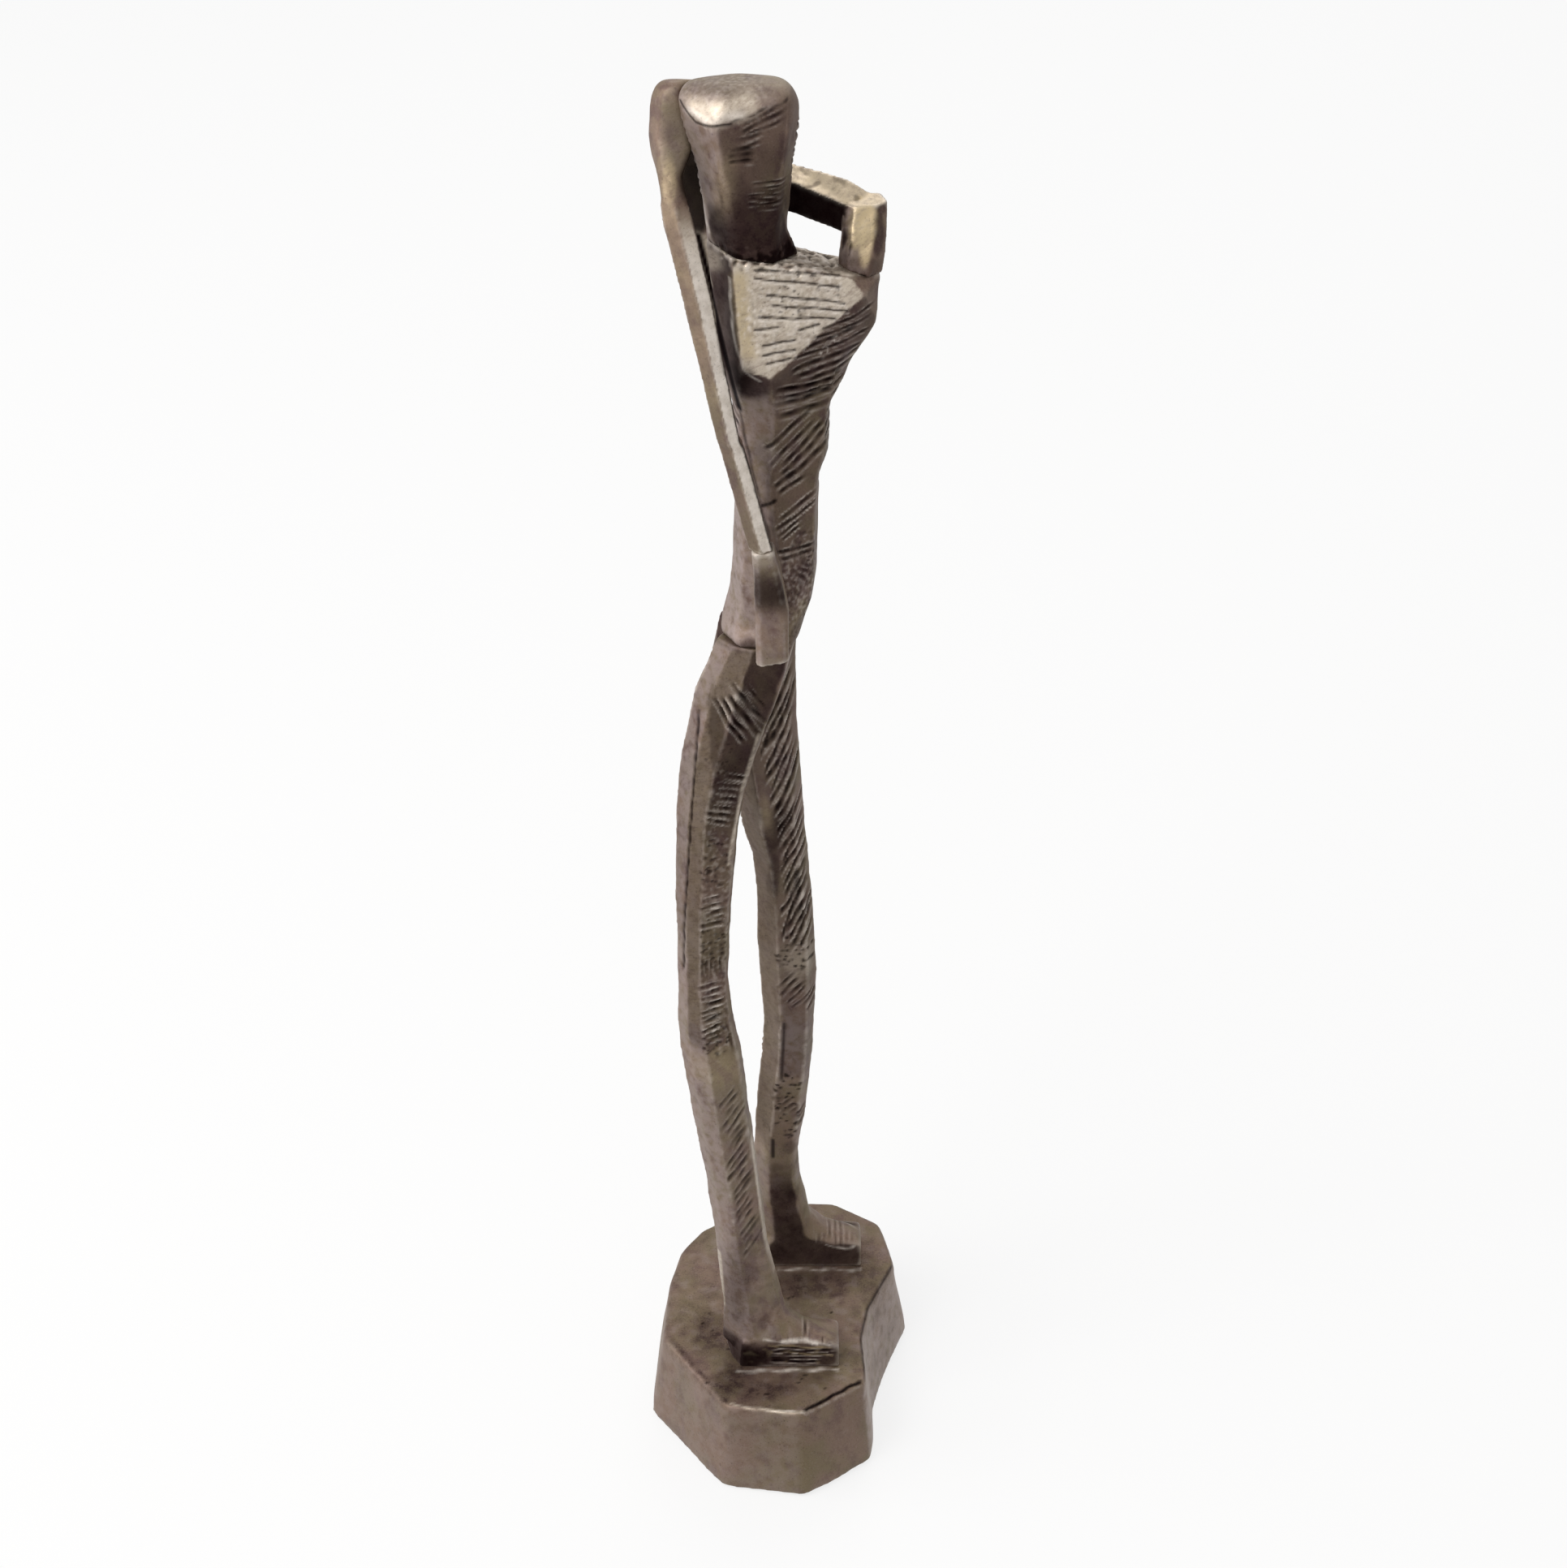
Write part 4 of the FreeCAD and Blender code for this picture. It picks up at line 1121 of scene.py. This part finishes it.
def foot_marks() -> list[Any]:
    """Marks of the near foot.

    Returns:
        The marks, in the order in which they are laid on.
    """
    heel = (-0.71, -0.7, 0)
    return [
        Facet("soot", heel, 1, 0.85, (14, 21.6), 2),
        Facet("cavity", heel, 0.4, 0.85, (14, 20.6), 2),
        Hatch(31, (5.6, 22.6), 1.9, 2.4, -86, 1.1, 0.34, 0.2, 0.7, soot=0, facing=(0, -0.5, 0.85)),
        Hatch(32, (1.8, 18.7), 7.2, 1.7, -2, 0.66, 0.3, 0.2, 0.9, 1, 0.9, tight=0.7),
        # Painted highlights on the top edge of the toes.
        Score(((-2.6, 21.6), (1.2, 21.2)), 0.35, 0, 1, "crest", 0.35, 0.7, 0.16),
        Score(((0.4, 21.6), (5.6, 21)), 0.5, 0, 1, "crest", 0.35, 0.4, 0.2),
        Score(((5.2, 20.8), (7.8, 20.6)), 0.35, 0, 0.9, "crest", 0.35, 0.8, 0.16),
        Score(((-1.4, 20.6), (7.6, 20)), 0.32, 0, 1, "gold", 0.6, 0.6, 0.16),
        Score(((0.6, 19.2), (8, 18.4)), 0.28, 0, 1, "gold", 0.6, 0.7, 0.16),
        Crust((2, 18.4), (8, 2.2), 1.3, 0, 0.4, 0, "gold", tight=0.6),
        Hatch(33, (3.4, 21.6), 0.9, 4.6, 86, 0.9, 0.2, 0.16, 0.8, 1, 0, 0, tight=0.2),
        Wash("cavity", (-6, 18), (4.6, 2.2), 0.7, 0, 0.5, tight=0.6),
        Calm((-5.5, 19), (4.5, 4)),
        Wash("soot", (-1, 18), (10.5, 2.9), square=True, tight=0.7),
        Score(((-9.2, 37), (-8.9, 31.2), (-8.7, 26)), 0.45, 0, 0.9, "worn"),
    ]


def left_leg_marks() -> list[Any]:
    """Marks of the far leg, whose outer side repeats the near leg's.

    Returns:
        The marks, in the order in which they are laid on.
    """
    inner, ankle = (-0.75, -0.65, -0.1), (0, -1, 0)
    return [
        Facet("soot", (0.5, -0.9, 0), 0.45, 0.8, (57, 150)),
        Facet("soot", inner, 0.85, 0.93, (42, 150), 6),
        Wash("cavity", (-3.4, 50), (2, 7), 0.2, 0, 0.8),
        Wash("soot", (-0.6, 107), (1.6, 7), 0.9, -12, 0.5),
        Wash("cavity", (0.2, 107), (1.2, 6), 0.26, -12, 0.8),
        Wash("soot", (-1, 97), (1.2, 8), 0.8, -4, 0.6),
        Wash("cavity", (-1, 97), (1, 7), 0.22, -4, 0.8),
        Facet("bloom", inner, 0.5, 0.93, (57, 118), 6, 0.8),
        Facet("cavity", inner, 0.16, 0.93, (82, 150), 8, 0.5),
        Wash("gold", (-1.8, 110.5), (0.7, 4), 0.25, 10, 0.8),
        Wash("bloom", (1, 64), (3.4, 8), 0.8, 0, 0.7),
        Facet("gold", (-0.8, -0.55, -0.1), 0.25, 0.8, (40, 124), 6, 0.6),
        Wash("soot", (-9.6, 134), (2.4, 9), 0.9, -12),
        # Painted shade on the far foot's side that faces the near leg.
        Facet("soot", ankle, 0.95, 0.9, (15, 36), 8),
        Facet("cavity", ankle, 0.25, 0.9, (15, 26), 6),
        Wash("worn", (2.6, 80.6), (2.4, 3.4), 0.32, 0, 0.6),
        Hatch(41, (1, 112.5), 6.6, 12.6, 67, 1, 0.34, 0.3, 0.5, 0.8, 0.5, 0.2, 1.92),
        Hatch(44, (3, 92), 3.2, 3.6, 66, 1, 0.32, 0.3, 0.6, 0.75, 0.5, 0.2, 1.5),
        Hatch(45, (3, 74.4), 3.4, 3.6, 52, 1.1, 0.3, 0.22, 0.6, 0.7, 0.3, 0.1),
        Hatch(46, (1.8, 50.1), 2.2, 3.9, 45, 0.95, 0.4, 0.18, 0.7, 0.6, 0.2, 0.1),
        Crust((2, 34), (4, 10), 3, 0.12, 0.4, 0.3, "bloom"),
        Pits(8, (2.5, 82), (3, 4), 40),
        Pits(9, (1.5, 50), (2.5, 8), 60),
        Score(((0.7, 67.8), (0.5, 61.3), (0.3, 56.2)), 0.4, 0.2, 0.6),
        Score(((-1.1, 43.1), (-1.1, 39.6)), 0.5, 0.4),
        # Painted highlights on the top edge of the toes.
        Score(((7.2, 20.7), (9.6, 20.4)), 0.3, 0, 1, "crest", 0.4, 0.8, 0.3),
        Score(((9, 20.1), (11.7, 20.1)), 0.4, 0, 1, "crest", 0.4, 0.6, 0.24),
        Hatch(47, (9, 21.4), 1.5, 3.2, 86, 0.9, 0.28, 0.14, 0.9, 0.6, 0.3, 0, facing=(0, -0.2, 1)),
        Hatch(87, (-5, 108), 2.6, 10, -35, 1.5, ragged=0.6, soot=0.15, shear=-0.6, side=Side.BACK, tight=0.93),
        Hatch(88, (-9, 60), 2.4, 8, 30, 1.4, ragged=0.6, soot=0.15, side=Side.BACK, tight=0.93),
        Wash("soot", (-7, 18.2), (9.5, 2.6), 0.6, square=True, side=Side.FAR, tight=0.7),
        Hatch(89, (-9.4, 18.7), 4.6, 1.5, 1, 0.9, 0.3, 0.2, 0.7, 0.7, side=Side.FAR),
        Seat(HIP, 1, 0.25, 2.4),
        Relax((15, 46), 24, 6),
    ] + other_side(right_leg_marks(), (9, 0))


def arm_marks() -> list[Any]:
    """Marks of the near arm.

    Returns:
        The marks, in the order in which they are laid on.
    """
    bar = (0.54, -0.8, 0.25)
    return [
        # Painted highlight on the bar's lit facet.
        Facet("worn", bar, 1, 0.93, (150, 202), 5, 0.3, 6),
        Facet("crest", bar, 1, 0.93, (150, 199), 8, 0, 3),
        # Painted shadow line along the bar's edge next to the torso.
        Score(((-7.3, 190), (-6.9, 187.1), (-6.3, 183.6)), 0.8, 0.1, 1, tight=-0.2),
        Score(((-6.3, 183.6), (-5.5, 180.2), (-4.6, 177)), 0.5, 0.1, 1, tight=-0.2),
        Facet("gold", (-0.62, -0.78, 0), 0.35, 0.9, (180, 205), 8, 0.8),
        Facet("soot", (-0.8, -0.6, -0.12), 0.25, 0.93, (150, 205)),
        Facet("worn", (0.1, -0.9, 0.4), 0.15, 0.85, (206, CLEAR), 6),
        Wash("soot", (-12, 209), (1.5, 4.5), 0.45, 12, 0.5),
        Relax((203.5, CLEAR), 50),
        # Painted shade on the bar's side that faces the torso.
        Facet("cavity", (1, -0.2, 0), 0.9, 0.88, (150, 212), bleed=3),
        Wash("cavity", (-10.9, 206.6), (1, 2.4), 0.8, 0, 0.5, tight=0),
        Wash("gold", (-13.4, 206.5), (0.9, 2.6), 0.5),
        # Painted highlight on the wrist edge.
        Score(((-2.9, 158.9), (-0.6, 158.6)), 0.5, 0, 1, "worn"),
    ]


def hand_marks() -> list[Any]:
    """Marks of the near hand.

    Returns:
        The marks, in the order in which they are laid on.
    """
    knuckles, palm = (0, -0.95, 0.1), (0, -0.98, 0.1)
    return [
        # Painted shade on the back of the hand that turns down, painted light on the wrist and the fingers.
        Facet("soot", knuckles, 0.95, 0.4, (149.5, 156), 4.5),
        Facet("cavity", knuckles, 0.4, 0.4, (150, 155), 4.5),
        Facet("bloom", palm, 0.35, 0.8, (138, 149), 3),
        Facet("worn", palm, 0.3, 0.6, (157, 162)),
    ]


def forearm_marks() -> list[Any]:
    """Marks of the far arm.

    Returns:
        The marks, in the order in which they are laid on.
    """
    upper = (0, -0.2, 0.95)
    return [
        # Painted highlight on the faces that look up.
        Facet("gold", upper, 0.6, 0.8),
        Facet("worn", upper, 0.8, 0.8),
        Crust((4, 203), (7, 4), 1.3, 0.06, 0.9, 0.45, "soot"),
        Wash("soot", (3.6, 199.5), (5, 5), 1, 0, 0.12, True, tight=0.7),
        Wash("cavity", (3.6, 199.5), (5, 5), 0.75, 0, 0.12, True, tight=0.7),
        # Painted highlight on the elbow.
        Wash("gold", (10.4, 199.6), (1.7, 2.6), 1, -8, 0.3),
        Wash("gold", (10.9, 197.4), (0.9, 2.2), 0.9, -8, 0.3),
        Wash("worn", (10.4, 200.2), (1.4, 1.6), 0.7, -8, 0.3),
        Wash("soot", (12.4, 198.4), (0.8, 3), 0.8),
        Wash("soot", (11.6, 201.4), (2.4, 1.6), 0.9, facing=UP, tight=0.4),
        Wash("soot", (10, 194.6), (3.4, 1.6), 0.7, 0, 0.4, tight=0),
        Calm((10.5, 195), (4, 3)),
    ]


def plinth_marks() -> list[Any]:
    """Marks of the plinth.

    Returns:
        The marks, in the order in which they are laid on.
    """
    ahead = (1, -0.1, 0.1)
    return on_side(Side.TOP, [
        # Painted shade on the top, painted light on the sides that look ahead.
        Facet("soot", UP, 0.45, uneven=0.9),
        Relax((0, 14.5), 40),
        Facet("bloom", ahead, 1, 0.85),
        Facet("worn", ahead, 0.15, 0.85),
        Facet("soot", (0.3, -1, 0.1), 0.26, 0.75, (7, 18), 12),
        # Soot washes on the top: dark patina with the painted shadow around and between the feet.
        Wash("soot", (4.5, 3.5), (8.5, 3.2), 0.8),
        Wash("soot", (7, -7), (5, 6), 0.5, 30, 0.8),
        Wash("soot", (-12, 3), (3, 5), 0.4, 10, 0.9),
        Wash("gold", (-13.5, -3), (3, 6), 0.08, 10, 0.9),
        Wash("soot", (-11.4, -6.4), (3.2, 6), 1, 12, 0.6),
        Wash("soot", (-7.6, -17.4), (4.4, 3), 1, 50, 0.6),
        Wash("soot", (-3, -19.6), (5.5, 2.2), 0.9, 0, 0.6),
        Wash("soot", (13.6, 7), (3.4, 7), 0.75, 10, 0.8),
        Wash("bloom", (-1, 13), (8, 5), 0.5, 0, 0.8),
        Wash("soot", (-13, -6), (5, 9), 0.6, 20, 0.8),
        Crust((0, 0), (24, 24), 5, 0, 0.5, 0, "soot"),
        Crust((0, 0), (24, 24), 1.6, 0.03, 0.35, 0.12, "bloom"),
        # Painted highlights: bright lines in front of the feet and along the front edge.
        Score(((-6.4, -15.4), (8.8, -15)), 0.5, 0, 0.9, "crest", 0.2, 0.7, 0.2),
        Score(((-0.1, 7.2), (13, 7)), 0.4, 0, 0.8, "crest", 0.2, 0.8, 0.2),
        Score(((-7.4, -22.2), (-3, -23.3), (3.2, -24.1), (4.6, -23.2)), 0.34, 0, 0.75, "worn", 0.2, 0.7, 0.16),
        Score(((-2, -23.4), (3.8, -24)), 0.22, 0, 0.7, "crest", 0.2, 0.7, 0.1),
        Score(((4, -23.5), (12.4, -17.5)), 0.45, 0.14, 1, tight=0.5, waver=0.08),
        Score(((4, -24.1), (12.8, -18)), 0.2, 0, 0.35, "crest", 0.4, 0.8, 0.06),
        Score(((13.4, -17.6), (12.8, -8), (14, -1.5), (18.3, 8.4)), 0.35, 0.1, 0.7, "cavity", 0.5, 0.3),
        Score(((-16.9, -8.6), (-8.4, -21.6)), 0.9, 0, 0.9, "soot", 0.3, 0.3, 0.1),
        Pits(10, (0, -10), (15, 12), 30),
    ])


# ---------------------------------------------------------------- pieces
@dataclass
class Figure:
    """The seven castings of the figure."""

    slot: str = "figure_bronze"

    def castings(self) -> Iterable[Casting]:
        """List the castings with their tool marks and paint.

        Yields:
            Each casting, with its marks.
        """
        yield Casting("right_leg", 0.26, marks=right_leg_marks() + foot_marks())
        yield Casting("left_leg", 0.26, bloom=0.45, seed=11.0, marks=left_leg_marks())
        yield Casting("torso", 0.26, seed=7.0, marks=torso_marks())
        yield Casting("head", 0.22, soften=90, swell=0.3, seed=5.0, marks=head_marks())
        yield Casting("right_arm", 0.2, soften=4, waves=(4.5, 0.08), bloom=0.1, seed=2.0, marks=arm_marks())
        yield Casting("right_hand", 0.22, soften=4, waves=(4.5, 0.1), seed=9.0, marks=hand_marks())
        yield Casting("left_arm", 0.22, soften=5, waves=(4.5, 0.12), seed=4.0, marks=forearm_marks())

    def build(self) -> None:
        """Make every casting of the figure."""
        bronze = Bronze(self.slot).material()
        for casting in self.castings():
            casting.build(bronze)


@dataclass
class Base:
    """The plinth and the pad under it."""

    def build(self) -> None:
        """Make the plinth casting and the pad."""
        bronze = Bronze("plinth_bronze", relief=0.00004, thin_soot_and_shade=0.5, speckle=0.45, blotch_mm=1.8, patches=0.45)
        Casting("plinth", 0.4, "plinth_bronze", soften=24, waves=(6.0, 0.16), pits=(1.4, 0.03), seed=6.0,
                cavity_gain=2.0, crest_gain=0.0, bloom=0.35, marks=plinth_marks()).build(bronze.material())
        self.build_pad()

    @staticmethod
    def build_pad() -> None:
        """Make the foam pad, its lower edge eased and its face slightly uneven."""
        pad = fine_copy("base_pad", "base_pad_foam", 0.35, 3)
        skin = Skin(pad)
        skin.hammer(3.0, 0.05, 4.0)
        skin.write()
        cover(pad, Rubber().material())
        bpy.ops.object.shade_smooth()
        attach(pad, BODY)
        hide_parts("base_pad")
        LOG.info("%s: %d faces", pad.name, len(pad.data.polygons))


@dataclass
class Fixings:
    """The screws, washers, dowels and pins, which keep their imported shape."""

    endings: tuple[str, ...] = ("_screw", "_washer", "_dowel", "_pin")

    def build(self) -> None:
        """Give each fixing its steel finish."""
        steel = Steel().material()
        for node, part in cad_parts.items():
            if node.endswith(self.endings):
                cover(part, steel)
                LOG.info("%s: steel", node)


# ---------------------------------------------------------------- studio
@dataclass
class Lamp:
    """Square soft lamp aimed at the figure."""

    name: str
    place: Way
    width: float
    power: float
    colour: Colour = WHITE
    aim: Way = (0.0, 0.0, 0.11)

    def build(self) -> None:
        """Hang the lamp."""
        data = bpy.data.lights.new(self.name, "AREA")
        data.shape = "SQUARE"
        data.size = self.width
        data.energy = self.power
        data.color = self.colour
        lamp = bpy.data.objects.new(self.name, data)
        bpy.context.collection.objects.link(lamp)
        lamp.location = self.place
        way = Vector(self.aim) - Vector(self.place)
        lamp.rotation_euler = way.to_track_quat("-Z", "Y").to_euler()


@dataclass
class Studio:
    """Camera, lamps, sky and floor."""

    camera_place: Way = (0.0006, -0.342, 0.350)
    camera_tilt: float = 34.4
    lens: float = 67.88
    sensor: float = 36.0
    sky: float = 0.42
    floor: float = 6.0
    lamps: tuple[Lamp, ...] = (
        Lamp("key_lamp", (-0.45, -0.35, 0.95), 0.5, 5.5, (1.0, 0.985, 0.96)),
        Lamp("left_lamp", (-0.85, -0.10, 0.30), 0.6, 3.2, (1.0, 0.985, 0.965)),
        Lamp("back_lamp", (0.15, 0.75, 0.80), 0.6, 2.2),
    )

    def build_camera(self) -> None:
        """Set up the camera."""
        data = bpy.data.cameras.new("camera")
        data.sensor_fit = "HORIZONTAL"
        data.sensor_width = self.sensor
        data.lens = self.lens
        camera = bpy.data.objects.new("camera", data)
        bpy.context.collection.objects.link(camera)
        camera.location = self.camera_place
        camera.rotation_euler = (math.radians(90 - self.camera_tilt), 0.0, 0.0)
        bpy.context.scene.camera = camera

    def build_sky(self) -> None:
        """Light the scene evenly, and show white behind it."""
        bpy.context.scene.world = bpy.data.worlds.new("sky")
        shader = Shader(bpy.context.scene.world)
        strength = self.sky + (1.0 - self.sky) * shader.background_rays()
        light = shader.node("ShaderNodeBackground", None, {"Color": WHITE, "Strength": strength})
        shader.node("ShaderNodeOutputWorld", None, {"Surface": light})

    def build_floor(self) -> None:
        """Lay the floor that the figure stands on."""
        bpy.ops.object.select_all(action="DESELECT")
        bpy.ops.mesh.primitive_plane_add(size=self.floor, location=(0.0, 0.0, 0.0))
        floor = bpy.context.active_object
        floor.name = "studio_floor"
        floor.data.materials.append(Card().material())

    def build(self) -> None:
        """Make the studio."""
        bpy.context.scene.view_settings.view_transform = "Standard"
        self.build_camera()
        self.build_sky()
        self.build_floor()
        for lamp in self.lamps:
            lamp.build()


def main() -> None:
    """Build the studio and the figurine."""
    logging.basicConfig(level=logging.INFO, format="%(name)s %(message)s")
    Studio().build()
    Base().build()
    Figure().build()
    Fixings().build()


if __name__ == "__main__":
    main()
